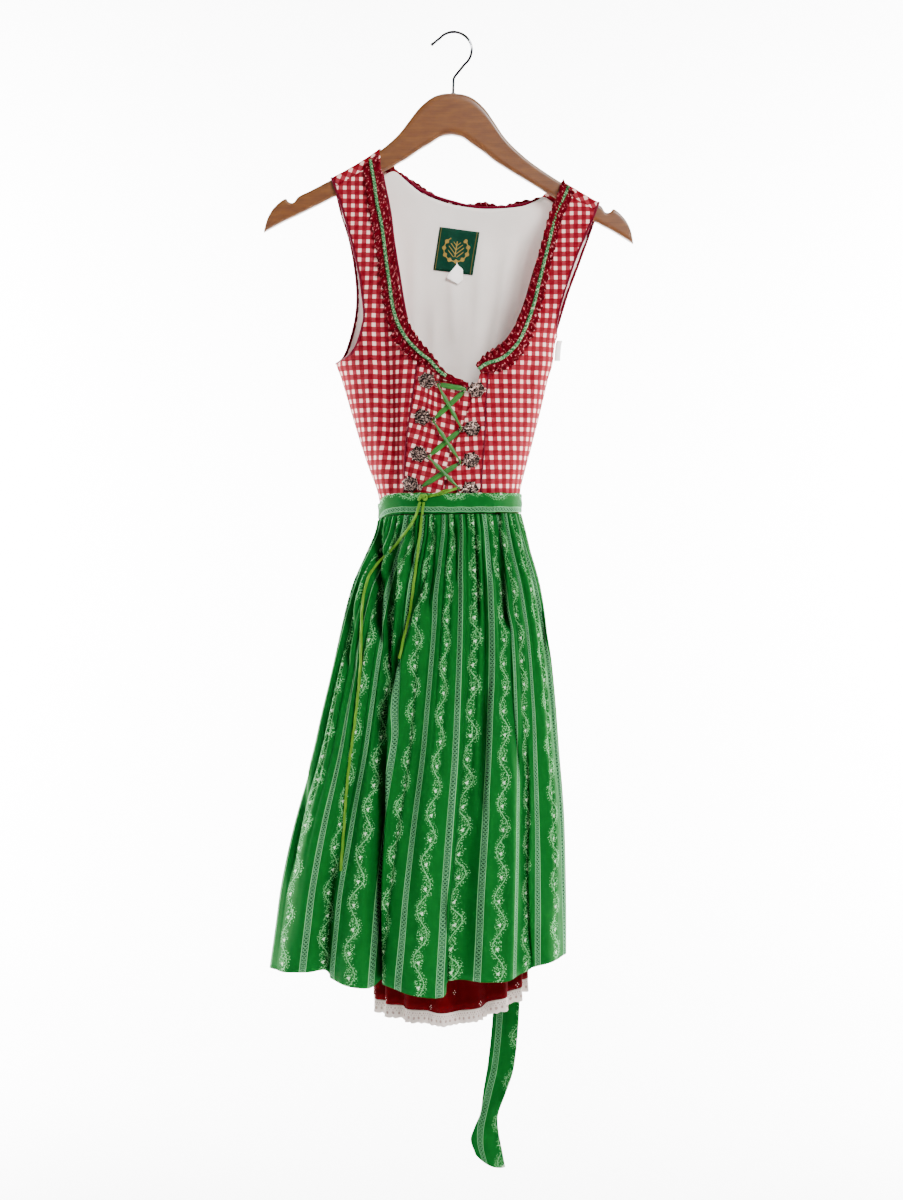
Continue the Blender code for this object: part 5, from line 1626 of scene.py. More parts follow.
def rosette(mesh, matrix, radius):
    """An oval filigree disc: a domed back, beaded rims, scrolls and a centre ball."""
    oval = matrix @ Matrix.Diagonal((1.04, 0.94, 1, 1))
    disc = bmesh.ops.create_cone(
        mesh, cap_ends=True, segments=40, radius1=radius * 0.98 * MM, radius2=radius * 0.55 * MM,
        depth=1.5 * MM, matrix=oval @ Matrix.Translation((0, 0, 0.75 * MM)),
    )["verts"]
    rims = list({edge for point in disc for edge in point.link_edges if len(edge.link_faces) == 2
                 and edge.calc_face_angle(0) > 0.5})
    bmesh.ops.bevel(mesh, geom=rims, offset=0.3 * MM, segments=2, profile=0.5, affect="EDGES",
                    material=-1)
    for reach, level, thick in ((0.93, 0.9, 0.55), (0.6, 1.7, 0.45), (0.33, 2.0, 0.4)):
        add_ring(mesh, oval @ Matrix.Translation((0, 0, level * MM)), radius * reach, thick, 30, 6)
    for count, reach, level, size in ((18, 0.77, 1.35, 0.85), (10, 0.46, 1.9, 0.6)):
        for number in range(count):
            turn = 2 * pi * number / count
            spot = (radius * reach * cos(turn) * MM, radius * reach * sin(turn) * MM, level * MM)
            bmesh.ops.create_icosphere(mesh, subdivisions=1, radius=size * MM,
                                       matrix=oval @ Matrix.Translation(spot))
    bmesh.ops.create_uvsphere(mesh, u_segments=14, v_segments=8, radius=1.7 * MM,
                              matrix=oval @ Matrix.Translation((0, 0, 2.1 * MM)))
    for number in range(6):
        turn = 2 * pi * number / 6
        spot = (radius * 1.02 * cos(turn) * MM, radius * 1.02 * sin(turn) * MM, 0.8 * MM)
        bmesh.ops.create_icosphere(mesh, subdivisions=1, radius=1.5 * MM,
                                   matrix=oval @ Matrix.Translation(spot))


def ribbon_line(start, end, start_out, end_out):
    """The middle of a strand from one ring to another, sagging a little on its way."""
    points = []
    for step in range(31):
        share = step / 30
        across = mix(start.across, end.across, share)
        height = mix(start.height, end.height, share)
        out = mix(start_out, end_out, share) - 0.28 * sin(pi * share)
        points.append(lifted(front, across, height, out))
    return points


def build_lacing():
    """Satin ribbon crossing between the rings: flat below, twisted where it lies over one."""
    rings = {"left": RINGS_LEFT, "right": RINGS_RIGHT}
    for number, strand in enumerate(STRANDS, start=1):
        start = rings[strand.start_side][strand.start_row]
        end = rings[strand.end_side][strand.end_row]
        line = ribbon_line(start, end, strand.start_out, strand.end_out)
        shape = (twisted_ribbon, 0.9) if strand.start_out == OVER else (half_ribbon, 0.5)
        mesh = new_mesh()
        add_tube(mesh, line, *shape, forwards, sides=12)
        placed(mesh, f"lacing_{number}", green_ribbon)


def half_ribbon(share):
    """Half the ribbon's width along one crossing."""
    return sizes().ribbon_width / 2 * mix(0.42, 1, within(share, 4))


def twisted_ribbon(share):
    """Half the ribbon's width where it is twisted three times on its way."""
    return half_ribbon(share) * (0.64 + 0.14 * cos(6 * pi * share))


def band_face(across, height):
    """The waistband's outer face, for what lies on it."""
    return lifted(front, across, height, BAND_OUT + BAND_THICKNESS / 2)


def build_knot():
    """The lacing's knot, with the frayed end of the ribbon running into it."""
    centre = band_face(KNOT.across, KNOT.height) + Vector((0, -3.4, 0))
    mesh = new_mesh()
    loop = []
    for step in range(61):
        turn = 2 * pi * step / 60
        loop.append(centre + Vector((
            4.1 * sin(turn) + 1.2 * sin(2 * turn), -1.0 * cos(3 * turn), 2.6 * sin(2 * turn + 0.6),
        )))
    add_tube(mesh, loop, 1.5, 1.2, away, sides=8)
    wrap = []
    for step in range(31):
        turn = 2 * pi * step / 30
        wrap.append(centre + Vector((1.6 * sin(turn), -2.2 * cos(turn), 0.6 * step / 30)))
    add_tube(mesh, wrap, 1.4, 1.0, lambda point: Vector((0, 0, 1)), sides=8)
    placed(mesh, "lacing_knot", frayed_ribbon)

    ring = RINGS_RIGHT[3]
    mesh = new_mesh()
    for thread in range(5):
        points = []
        for step in range(13):
            share = step / 12
            across = mix(ring.across - 3.6, KNOT.across + 6.2, share)
            height = mix(ring.height + 1, KNOT.height + 1, share)
            spread = (thread - 2) * 0.62 * (1 + 0.6 * sin(pi * share) * (chance(thread, 5) + 0.3))
            here = lifted(front, across, height, BAND_OUT + BAND_THICKNESS / 2 + 1.4)
            points.append(here + Vector((0, 0, spread + 0.4 * sin(share * 9 + thread))))
        add_tube(mesh, points, 0.42, 0.42, away, sides=6)
    placed(mesh, "lacing_to_knot", frayed_ribbon, "frayed-lacing-end")


def free_end(name, route, node, count):
    """One free end of the lacing, lying loose over the waistband and the apron."""
    points = [apron_face(row.across, row.height) for row in route]
    line = smooth_line(points, count)
    mesh = new_mesh()
    add_rope(mesh, line, 1.6, 3, 70, forwards, sides=6)
    piece = placed(mesh, node, frayed_ribbon, name)
    path = [point * MM for point in line]
    round(length_of(line) * MM, 4)


def build_labels():
    def on_lining(across, height, out):
        return lining_face(angle_at(across, height), height, 0.5, 0.9 + out)

    def label(share, down):
        across = mix(mix(-18, 29, share), mix(-26, 21, share), down)
        height = mix(mix(-221, -227, share), mix(-271, -277, share), down)
        return on_lining(across, height, 0.4)

    def size_tab(share, down):
        """A tab folded to a point at its top, wider below, with a blunt corner at its foot."""
        if down < 0.75:
            left, right = mix(2.3, -11.0, ease(down * 1.2)), mix(2.3, 9.5, ease(down * 3))
        else:
            foot = (down - 0.75) * 4
            left, right = mix(-11.0, 1.6, foot), mix(9.8, 3.0, foot)
        height = mix(-262, -287, down) - 1.5 * share
        return on_lining(mix(left, right, share), height, 2.8)

    def care_label(share, down):
        height = mix(-358, -382, down)
        side = column(BODY, "right", height) + 1.8
        curl = 0.9 * sin(share * 4)
        return Vector((side + mix(0, 6.5, share), mix(1, -5, down) - curl, height))

    def flat_label(points):
        over, down = runs(points)
        return turned(over - LABEL_MIDDLE, down)

    cloth("label", (16, 16), label, 0.8, label_green, flat_label, "woven-label")
    cloth("size_tab", (12, 18), size_tab, 0.6, tag_white, name="folded-tab")
    cloth("care_label", (8, 12), care_label, 0.6, tag_white, name="care-tab")


# Apron

GATHERS = 37
GATHER_DEPTH = 3.9
MERGED_DEPTH = 2.6     # the broader folds that the gathers run into
RUMPLE = 1.3           # the cloth's small unevenness
HEM_POINTS = 281
LIP = 1.7              # how sharply an overlapping fold's upper layer ends
TUCK = 26.0            # how far to its right the layer is drawn over the lower one
# Where the chain stripes meet the hem, from left to right
PRINT_AT_HEM = (-177, -141, -97, -64, -19, 24, 66, 92, 124)
# Overlapping folds: their line as seen from the front, their depth, and how far they reach to
# the left of the layer that lies on top
APRON_FOLDS = table(
    Crease, (-31, -620, -78, -820, 34, 15), (-74, -730, -83, -1160, 46, 12),
    (-60, -560, -71, -760, 34, 9.0), (-78, -550, -84, -715, 42, 9.0),
    (-104, -608, -119, -744, 20, 9), (50, -540, 62, -700, 40, 9.0), (60, -640, 72, -870, 9, 8.0),
    (42, -735, 30, -910, 12, 7.0), (-128, -930, -147, -1110, 16, 7.0),
    (80, -780, 86, -1100, 12, 8.0), (-8, -960, -9, -1125, 9, 8.0), (22, -560, 26, -690, 10, 4.0),
    (2, -560, 0, -650, 9, 4.0), (-20, -560, -30, -680, 10, 4.0), (-44, -560, -48, -630, 10, 4.0),
    (36, -560, 40, -640, 9, 3.5), (84, -580, 106, -730, 10, 6.0),
    (-158, -760, -186, -1000, 8, 8.0),
)
# Soft folds, shallow and wide
APRON_WAVES = table(
    Crease, (-10, -700, -18, -1100, 5, 12), (18, -780, 10, -1100, 6, 10),
    (-46, -800, -52, -1100, 5, 9), (100, -820, 108, -1060, 6, 9), (-112, -820, -122, -1080, 5, 10),
    (54, -860, 52, -1100, 6, 9), (-168, -850, -196, -1080, 5, 9), (-66, -640, -96, -800, 4, 7),
    (30, -620, 30, -760, 4, 7),
)


@lru_cache
def hem_line():
    """The hem in plan with its height, evenly spaced."""
    points = [Vector((row.across, -row.forward, row.height)) for row in APRON_HEM]
    return smooth_line(points, HEM_POINTS)


def band_point(angle, height, out):
    """A point in front of the waist, out from the wall as it is without its folds."""
    return lifted_wall(angle, height, True, out, folded=False)


def band_out(share):
    """The band's distance from the bodice: close at the sides, off it over the hooks."""
    return mix(BAND_AT_SIDE, BAND_OUT, within(share, 6))


@lru_cache(maxsize=None)
def gather_at(share):
    """The gather here: -1 between two to 1 on its back, how strong it is and how far it falls."""
    warp = share + 0.0062 * sin(share * 33) + 0.0045 * sin(share * 61 + 1)
    phase = warp * GATHERS
    number = int(phase)
    ridge = abs(sin(pi * phase)) ** 0.7 * 2 - 1
    strong = mix(0.5, 1.5, chance(number, 1))
    fall = mix(0.8, 4.2, chance(number, 2) ** 2)
    return ridge, strong, fall


def overlaps(across, height):
    """How far the folds push the cloth here: across, where an upper layer hangs over, and in."""
    pushed = Vector((0, 0, 0))
    for fold in APRON_FOLDS:
        run = (height - fold.height) / (fold.to_height - fold.height)
        if 0 < run < 1:
            offset = across - mix(fold.across, fold.to_across, run) - 1.5 * sin(height / 37)
            width = fold.half_width * mix(1.25, 0.8, run) if offset < 0 else LIP
            strength = ease(run * 3) * ease((1 - run) * 5)
            reach = fold.half_width * min(fold.depth / 60, 0.4)
            over = ease(offset / LIP) * ease(1 - offset / TUCK) * reach
            pushed += Vector((-over, fold.depth * bump(offset / width), 0)) * strength
    return pushed


@lru_cache(maxsize=None)
def apron_top(share):
    """Where the apron leaves the band: the wall's angle, the place and its level."""
    angle = mix(BAND_START, BAND_END, share)
    band = wall(angle, WAIST, True)
    level = read(BAND_BOTTOM, min(max(band.x, -86), 74)) - CLEAR - BAND_THICKNESS / 2
    return angle, band_point(angle, level, band_out(share)), level


def apron_point(share, down, gathered=True):
    """The apron skirt: gathered at the band, opening into the hem's large folds."""
    angle, top, level = apron_top(share)
    hem = hem_line()
    spot = share * (len(hem) - 1)
    low = hem[int(spot)].lerp(hem[min(int(spot) + 1, len(hem) - 1)], spot - int(spot))
    height = mix(level, low.z, down)
    opened = ease(down * 1.15 + 0.06) * 0.55 + down * 0.45
    band_left, band_right = APRON[0].left, APRON[0].right
    hem_left, hem_right = APRON[-1].left, APRON[-1].right
    near = (top.x - band_left) / (band_right - band_left)
    far = (low.x - hem_left) / (hem_right - hem_left)
    left, right = sides(APRON, height)
    if down == 0:
        left, right = band_left, band_right
    across = mix(left, right, mix(near, far, opened))
    depth = mix(top.y, low.y, down ** 0.8)
    point = Vector((across, depth, height))
    if gathered:
        ridge, strong, fall = gather_at(share)
        normal = Vector((-cos(angle), -sin(angle) * 1.6, 0)).normalized()
        at_end = within(share, 8)
        fade = (1 - ease(down * 2.6 / fall)) * 0.9 + 0.1 * (1 - down)
        point += normal * (GATHER_DEPTH * ridge * strong * fade * at_end)
        merged = sin(GATHERS * 0.42 * 2 * pi * share + 3 * sin(share * 9))
        point += normal * (MERGED_DEPTH * merged * ease(down * 7) * (1 - 0.55 * down) * at_end)
        rumpled = noise.noise(Vector((share * 26, down * 5, 2.0)))
        point += normal * (RUMPLE * rumpled * ease(down * 4))
        point += overlaps(across, height) * at_end
        point.y += creased(APRON_WAVES, across, height) * at_end
        point.y = min(point.y, before_skirt(point.x, height))
    return point


def before_skirt(across, height):
    """As far back as the apron's folds can go before they meet the skirt."""
    left, right = sides(SKIRT, height)
    aside = (across - (left + right) / 2) / ((right - left) / 2)
    if abs(aside) >= 1:
        return 1000
    return -column(SKIRT, "front", height) * (1 - aside ** 2) ** 0.5 - 1.4


def build_apron():
    hem = hem_line()
    hem_length = length_of(hem)
    leftmost = min(range(len(hem)), key=lambda spot: hem[spot].x)
    stripes = []
    for across in PRINT_AT_HEM:
        spot = next(spot for spot in range(leftmost, len(hem)) if hem[spot].x >= across)
        stripes.append(spot / (len(hem) - 1))
    repeat = sizes().print_repeat

    def place(share, down):
        return apron_point(share, down ** 1.25)

    def print_place(share):
        """How far across the print this share of the hem lies; a stripe is at each half repeat."""
        if share < stripes[0]:
            return 0.5 * repeat + (share - stripes[0]) * hem_length * 0.8
        if share > stripes[-1]:
            return (len(stripes) - 0.5) * repeat + (share - stripes[-1]) * hem_length * 0.8
        return (np.interp(share, stripes, range(len(stripes))) + 0.5) * repeat

    def flat(points):
        columns = points.shape[1]
        over = np.array([print_place(spot / (columns - 1)) for spot in range(columns)])[None, :]
        fall = -points[..., 2].mean(axis=1, keepdims=True)
        return turned(over - sizes().print_offset + 0 * fall, fall + 0 * over)

    cloth("apron_skirt", (370, 100), place, THIN_CLOTH, green_striped_cotton, flat)


def build_band():
    """The waistband, cut across the print so that a chain stripe runs along it."""
    def place(share, down):
        angle = mix(BAND_START, BAND_END, share)
        across = wall(angle, WAIST, True).x
        height = mix(read(BAND_TOP, across), read(BAND_BOTTOM, across), down)
        here = band_point(angle, height, band_out(share))
        ridge, strong, _ = gather_at(share)
        here.y -= 0.35 * ridge * strong * ease(down * 1.6 - 0.6)
        here.z += 0.25 * sin(across * 0.3)
        return here

    def flat(points):
        over, down = runs(points)
        return turned((down - 18.6) * 1.4 + 25.2, over)

    cloth("apron_waistband", (200, 12), place, BAND_THICKNESS, green_striped_cotton,
          flat)


def apron_face(across, height):
    """Where a cord lies on the waistband or the apron, at this place seen from the front."""
    if height > BAND_FOOT:
        return band_face(across, height) + Vector((0, -2.3, 0))
    forward = 0.0
    for step in range(301):
        share = 0.02 + 0.62 * step / 300
        top, low = apron_point(share, 0, False), apron_point(share, 1, False)
        down = max((top.z - height) / (top.z - low.z), 0)
        point = apron_point(share, down)
        if abs(point.x - across) < 4:
            forward = min(point.y, forward)
    return Vector((across, forward - LIES_ON, height))


def strip_face(rows, share, down):
    """A tie's tail: it hangs creased down its middle and turns a little as it falls."""
    height = mix(rows[0].height, rows[-1].height, down)
    turn = radians(column(rows, "turn", height))
    aside = (share - 0.5) * 2
    side = aside * column(rows, "half_width", height)
    crease = mix(2.6, 7.0, down ** 3) * (1 - abs(aside)) * ease(down * 6)
    crease *= 0.6 + 0.4 * sin(height / 50)
    across = column(rows, "across", height) + side * cos(turn) - crease * sin(turn)
    depth = column(rows, "depth", height) + side * sin(turn) + crease * cos(turn)
    slant = 6.5 * (0.6 - aside) ** 2 - 5.5 if rows is TAIL else side * 0.2
    return Vector((across, depth, height + slant * ease(down * 12 - 11)))


def build_ties():
    """The ties run from the band's ends round the back to a knot, with two tails."""
    knot_angle = angle_at(KNOT_ACROSS, KNOT_HEIGHT)

    def lengthwise(points):
        over, down = runs(points)
        return turned(down + 14.0, over)

    for name, start, end in (("apron_tie_left", -BAND_START + 0.02, knot_angle - 0.004),
                             ("apron_tie_right", 2 * pi - BAND_END - 0.02, knot_angle + 0.004)):
        def place(share, down, start=start, end=end):
            angle = mix(start, end, share)
            is_front = angle < 0 or angle > pi
            turn = -angle if angle < 0 else 2 * pi - angle if angle > pi else angle
            level = (wall(turn, WAIST, is_front).x - BAND_TOP[0].across) / WAIST_WIDTH
            height = mix(mix(-548, -538, level), mix(-565, -557, level), down)
            fold = 0.5 * sin(down * 9 + angle * 3) * within(share, 8)
            return lifted_wall(turn, height, is_front, TIE_OUT + fold, folded=False)
        cloth(name, (140, 10), place, TIE_THICKNESS, green_striped_cotton, lengthwise)

    size = Vector((12, 5.5, 13))
    face = lifted_wall(knot_angle, KNOT_HEIGHT, False, TIE_OUT + TIE_THICKNESS / 2, folded=False)
    outward = lifted_wall(knot_angle, KNOT_HEIGHT, False, 100, folded=False) - face
    outward.normalize()
    over = Vector((outward.y, -outward.x, 0))
    centre = face + outward * (size.y + CLEAR + 0.4)
    mesh = new_mesh()

    def knot(share, down):
        turn, fall = 2 * pi * share, pi * down
        ridge = 1 + 0.07 * sin(turn * 5 + down * 7) * sin(fall)
        pinch = 1 - 0.16 * bump((down - 0.5) * 6)
        around = Vector((cos(turn) * sin(fall), sin(turn) * sin(fall), cos(fall))) * ridge
        there = over * (around.x * size.x * pinch) + outward * (around.y * size.y)
        return centre + there + Vector((0, 0, around.z * size.z))

    add_grid(mesh, 48, 32, knot, flat_from_middle(20))
    bmesh.ops.remove_doubles(mesh, verts=mesh.verts, dist=RING_WELD * MM)
    placed(mesh, "apron_tie_knot", green_striped_cotton)

    def tail_map(points):
        over, down = runs(points)
        middle = points.shape[1] // 2
        return turned(over - over[:, middle:middle + 1] + 33.0, down)

    for name, rows, count in (("apron_tail_long", TAIL, 220), ("apron_tail_short", SHORT_TAIL, 110)):
        cloth(name, (16, count), lambda share, down, rows=rows: strip_face(rows, share, down),
              TIE_THICKNESS, shaded_striped_cotton, tail_map)


# Skirt

SKIRT_FOLDS = 16
SKIRT_GATHERS = 62
LACE_SCALLOPS = 74
LACE_WAVES = 48


def skirt_point(share, down, drop=0.0):
    """The skirt's tube: share runs round it from the left side by the front."""
    turn = 2 * pi * share
    hem = read(SKIRT_HEM, 360 * share % 360)
    height = mix(WAIST - 0.6, hem, down) - drop
    left, right = sides(SKIRT, height)
    depth = column(SKIRT, "front" if turn < pi else "back", height)
    fold = 5.0 * ease(down * 1.5) + 0.4 * ease(down * 30)
    inward = fold * (1 + sin(SKIRT_FOLDS * turn + 1.3 * sin(2 * turn)))
    gather = sin(SKIRT_GATHERS * turn + 2 * sin(5 * turn)) * (1 - ease(down * 3.5)) * ease(down * 60)
    inward += 0.9 * gather + 0.9
    across = (left + right) / 2 - ((right - left) / 2 - inward) * cos(turn)
    return Vector((across, -(depth - inward) * sin(turn), height))


def build_skirt():
    """The gathered skirt, and the lace that carries on below its hem."""
    def flat(points):
        over, down = runs(points)
        fall = down.mean(axis=1, keepdims=True)
        return turned(over[-1:] + 0 * fall, fall + 0 * over)

    cloth("skirt", (420, 70), skirt_point, THIN_CLOTH, skirt_red, flat, "red-skirt",
          ring=True)

    def lace(share, down):
        scallop = 1.7 * (abs(sin(pi * share * LACE_SCALLOPS)) ** 0.6) * down
        here = skirt_point(share, 1, 0.1 + (LACE_HEIGHT - 1.1 + scallop) * down)
        outward = Vector((here.x + 5, here.y, 0)).normalized()
        wave = sin(share * 2 * pi * LACE_WAVES + 2 * sin(share * 40))
        return here + outward * (1.6 * wave * down)

    cloth("hem_lace", (520, 8), lace, 0.8, cotton_lace, flat, ring=True)


# Hanger

def tilted(across, depth, height):
    """A point of the hanger's own frame, turned about where the hook rests."""
    return Vector((
        across * cos(HANGER_TILT) + height * sin(HANGER_TILT),
        depth,
        height * cos(HANGER_TILT) - across * sin(HANGER_TILT),
    ))


def build_hanger():
    """The wooden yoke with its rounded edges, and the wire hook screwed into it."""
    half_depth, rounding = 6.0, 3.2
    last = HANGER[-1].reach

    def place(share, down):
        reach = mix(-last, last, down)
        top, bottom = column(HANGER, "top", abs(reach)), column(HANGER, "bottom", abs(reach))
        middle, half = (top + bottom) / 2, (top - bottom) / 2
        closing = ease((last - abs(reach)) / 4) * 0.5 + 0.5
        turn = 2 * pi * share + pi / 4
        edge_x, edge_z = cos(turn), sin(turn)
        square = max(abs(edge_x), abs(edge_z))
        depth = edge_x / square * half_depth
        rise = edge_z / square * half
        corner_x = max(abs(depth) - (half_depth - rounding), 0)
        corner_z = max(abs(rise) - (half - rounding), 0)
        size = hypot(corner_x, corner_z)
        if size > rounding and corner_x and corner_z:
            depth = (half_depth - rounding + corner_x * rounding / size) * (1 if depth > 0 else -1)
            rise = (half - rounding + corner_z * rounding / size) * (1 if rise > 0 else -1)
        return tilted(reach, depth * closing, middle + rise)

    def flat(points):
        across, depth, height = points[..., 0], points[..., 1], points[..., 2]
        return turned(across + 0.35 * depth, height + 0.9 * depth)

    mesh = new_mesh()
    add_grid(mesh, 56, 240, place, flat)
    bmesh.ops.remove_doubles(mesh, verts=mesh.verts, dist=WELD * MM)
    bmesh.ops.holes_fill(mesh, edges=[rim for rim in mesh.edges if rim.is_boundary], sides=0)
    body = placed(mesh, "hanger_body", varnished_wood)
    body.data.set_sharp_from_angle(angle=radians(60))

    wire, bend = 3.2, 21.0
    route = [Vector((0, 0, -70.1)), Vector((0, 0, -60)), Vector((0.5, 0, -52)), Vector((6, 0, -44))]
    centre = Vector((-1, 0, 1.7 - bend))
    for degrees in range(-50, 131, 10):
        turn = radians(degrees)
        route.append(centre + Vector((cos(turn), 0, sin(turn))) * bend)
    route += [Vector((-19.4, 0, -7.8)), Vector((-26.2, 0, -13.6))]
    line = smooth_line([tilted(point.x, 0, point.z) for point in route], 150)
    mesh = new_mesh()
    add_tube(mesh, line, wire / 2, wire / 2, forwards, sides=16)
    tip = line[-1] * MM
    bmesh.ops.create_uvsphere(mesh, u_segments=16, v_segments=10, radius=wire * 0.62 * MM,
                              matrix=Matrix.Translation(tip))
    collar = tilted(0, 0, -70.4) * MM
    ring = bmesh.ops.create_cone(
        mesh, cap_ends=True, segments=24, radius1=4.4 * MM, radius2=3.0 * MM, depth=1.6 * MM,
        matrix=Matrix.Translation(collar),
    )["verts"]
    rims = list({rim for point in ring for rim in point.link_edges})
    bmesh.ops.bevel(mesh, geom=rims, offset=0.25 * MM, segments=2, profile=0.5, affect="EDGES",
                    material=-1)
    placed(mesh, "hanger_hook", chromed_wire)


# Stage

def build_stage():
    """A pale sweep of backdrop, soft light from the front and both sides, and the camera."""
    world = bpy.context.scene.world or bpy.data.worlds.new("studio")
    bpy.context.scene.world = world
    world.use_nodes = True
    sky = world.node_tree.nodes["Background"]
    sky.inputs["Color"].default_value = (1, 1, 1, 1)
    sky.inputs["Strength"].default_value = 0.34

    floor_level, back_wall, bend = -1.62, 3.4, 0.9
    length, width, level_run = 9.0, 14.0, 5.0
    mesh = bmesh.new()
    bmesh.ops.create_grid(mesh, x_segments=2, y_segments=48, size=0.5)
    for point in mesh.verts:
        run = (0.5 - point.co.y) * length - level_run
        across = point.co.x * width
        if run < 0:
            point.co = across, run + back_wall - bend, floor_level
        elif run < bend * pi / 2:
            turn = run / bend
            point.co = (across, back_wall - bend + bend * sin(turn),
                        floor_level + bend * (1 - cos(turn)))
        else:
            point.co = across, back_wall, floor_level + bend + run - bend * pi / 2
    bmesh.ops.recalc_face_normals(mesh, faces=mesh.faces)
    data = bpy.data.meshes.new("floor")
    mesh.to_mesh(data)
    mesh.free()
    data.shade_smooth()
    data.materials.append(pale_backdrop())
    floor = bpy.data.objects.new("floor", data)
    bpy.context.collection.objects.link(floor)

    middle = Vector((0, 0, -0.62))
    for name, place, power, size, target in (
        ("key light", (1.3, -2.4, 1.1), 184, 0.8, middle),
        ("fill light", (-1.7, -2.5, -0.2), 16, 1.4, middle),
        ("top light", (0.0, -0.2, 1.9), 30, 1.4, middle),
        ("backdrop light left", (-2.6, 1.6, -0.2), 1050, 2.0, Vector((0.4, back_wall, -0.6))),
        ("backdrop light right", (2.6, 1.6, -0.2), 1050, 2.0, Vector((-0.4, back_wall, -0.6))),
    ):
        lamp = bpy.data.lights.new(name, "AREA")
        lamp.energy = power
        lamp.size = size
        light = bpy.data.objects.new(name, lamp)
        light.location = place
        light.rotation_euler = (target - light.location).to_track_quat("-Z", "Y").to_euler()
        bpy.context.collection.objects.link(light)

    chosen = sizes()
    camera = bpy.data.cameras.new("camera")
    camera.sensor_fit = "VERTICAL"
    camera.sensor_height = 24
    camera.lens = 24 * chosen.camera_distance / chosen.view_height
    eye = bpy.data.objects.new("camera", camera)
    eye.location = (chosen.view_across, -chosen.camera_distance, chosen.view_level)
    eye.rotation_euler = (pi / 2, 0, 0)
    bpy.context.collection.objects.link(eye)
    bpy.context.scene.camera = eye


# Settings, operators and panel

def colour_choice(name, description, red, green, blue):
    return bpy.props.FloatVectorProperty(
        name=name, description=description, subtype="COLOR", size=3, min=0, max=1,
        default=paint(red, green, blue)[:3],
    )


def size_choice(name, description, default, low, high):
    return bpy.props.FloatProperty(
        name=name, description=f"{description}, in millimetres", default=default, min=low, max=high,
    )


def camera_choice(name, description, default, low, high):
    return bpy.props.FloatProperty(
        name=name, description=description, default=default, min=low, max=high, unit="LENGTH",
    )


class DirndlColours(bpy.types.PropertyGroup):
    """The dyes and finishes that a maker might change."""

    gingham_red: colour_choice("Gingham yarn", "Where two red yarns cross", 104, 0, 17)
    gingham_crossed: colour_choice("Gingham half tone", "Where red crosses white", 130, 38, 48)
    gingham_white: colour_choice("Gingham white", "The undyed yarn", 236, 186, 174)
    apron_green: colour_choice("Apron green", "Ground of the printed cotton", 8, 78, 25)
    print_white: colour_choice("Print white", "Vine, blossoms and stripe borders", 112, 186, 120)
    stripe_grey: colour_choice("Stripe grey", "Ground of the chain stripe", 53, 94, 68)
    skirt_red: colour_choice("Skirt red", "Ground of the skirt's cotton", 62, 0, 4)
    ruffle_red: colour_choice("Ruffle red", "Ground of the neck ruffle", 82, 0, 12)
    braid_mint: colour_choice("Braid mint", "The twisted braid on the ruffle", 62, 128, 80)
    piping: colour_choice("Piping", "Neck, seam and armhole piping", 100, 2, 30)
    ribbon: colour_choice("Lacing green", "The satin lacing", 34, 108, 12)
    frayed: colour_choice("Frayed green", "The lacing's worn ends", 96, 130, 42)
    lining: colour_choice("Lining", "The bodice's back lining", 226, 220, 213)
    lace: colour_choice("Lace", "The hem's lace", 200, 186, 178)
    label: colour_choice("Label", "The woven label's ground", 8, 46, 32)
    silver: colour_choice("Old silver", "Hooks and rings", 168, 142, 132)
    wood: colour_choice("Wood", "The hanger's varnished beech", 100, 58, 18)
    wood_dark: colour_choice("Wood grain", "The hanger's darker grain", 66, 32, 10)


class DirndlSizes(bpy.types.PropertyGroup):
    """Sizes of the patterns and trims in millimetres, and the camera's place in metres."""

    check: size_choice("Check", "Side of one gingham check", 5.4, 1, 20)
    print_repeat: size_choice("Print repeat", "From stripe to stripe on the apron", 50.5, 20, 120)
    print_offset: size_choice("Print offset", "Shifts the apron's stripes across", 0.0, -60, 60)
    rosette: size_choice("Rosette", "A hook's width", 18.0, 8, 30)
    ribbon_width: size_choice("Ribbon", "The lacing's width", LACE_WIDTH, 2, 12)
    camera_distance: camera_choice("Camera distance", "From the camera to the dress", 2.55, 1, 10)
    view_height: camera_choice("View height", "Height that the camera takes in", 1.398, 0.2, 5)
    view_across: camera_choice("View across", "The camera's place across", -0.0041, -2, 2)
    view_level: camera_choice("View level", "The camera's height", -0.660, -3, 3)


class DIRNDL_OT_bodice(bpy.types.Operator):
    """Sews the gingham bodice: seven panels, the placket and the shoulder pieces."""

    bl_idname = "dirndl.bodice"
    bl_label = "Bodice"
    bl_options = {"REGISTER", "UNDO"}

    def execute(self, context):
        build_bodice()
        build_placket()
        build_shoulders()
        return {"FINISHED"}


class DIRNDL_OT_lining(bpy.types.Operator):
    """Hangs the back lining, with the woven label, the folded tab and the care tab."""

    bl_idname = "dirndl.lining"
    bl_label = "Lining and labels"
    bl_options = {"REGISTER", "UNDO"}

    def execute(self, context):
        build_lining()
        build_labels()
        return {"FINISHED"}


class DIRNDL_OT_ruffles(bpy.types.Operator):
    """Gathers the neck ruffles and lays the twisted braid down their middle."""

    bl_idname = "dirndl.ruffles"
    bl_label = "Ruffles and braid"
    bl_options = {"REGISTER", "UNDO"}

    def execute(self, context):
        ruffle("ruffle_left", RUFFLE_LEFT, 30)
        ruffle("ruffle_right", RUFFLE_RIGHT, 24)
        ruffle("ruffle_back", BACK_RUFFLE, 24, behind=True)
        braid("braid_left", RUFFLE_LEFT)
        braid("braid_right", RUFFLE_RIGHT)
        return {"FINISHED"}


class DIRNDL_OT_piping(bpy.types.Operator):
    """Lays the magenta piping round the neck and armholes and down the front seams."""

    bl_idname = "dirndl.piping"
    bl_label = "Piping"
    bl_options = {"REGISTER", "UNDO"}

    def execute(self, context):
        build_piping()
        build_armholes()
        return {"FINISHED"}


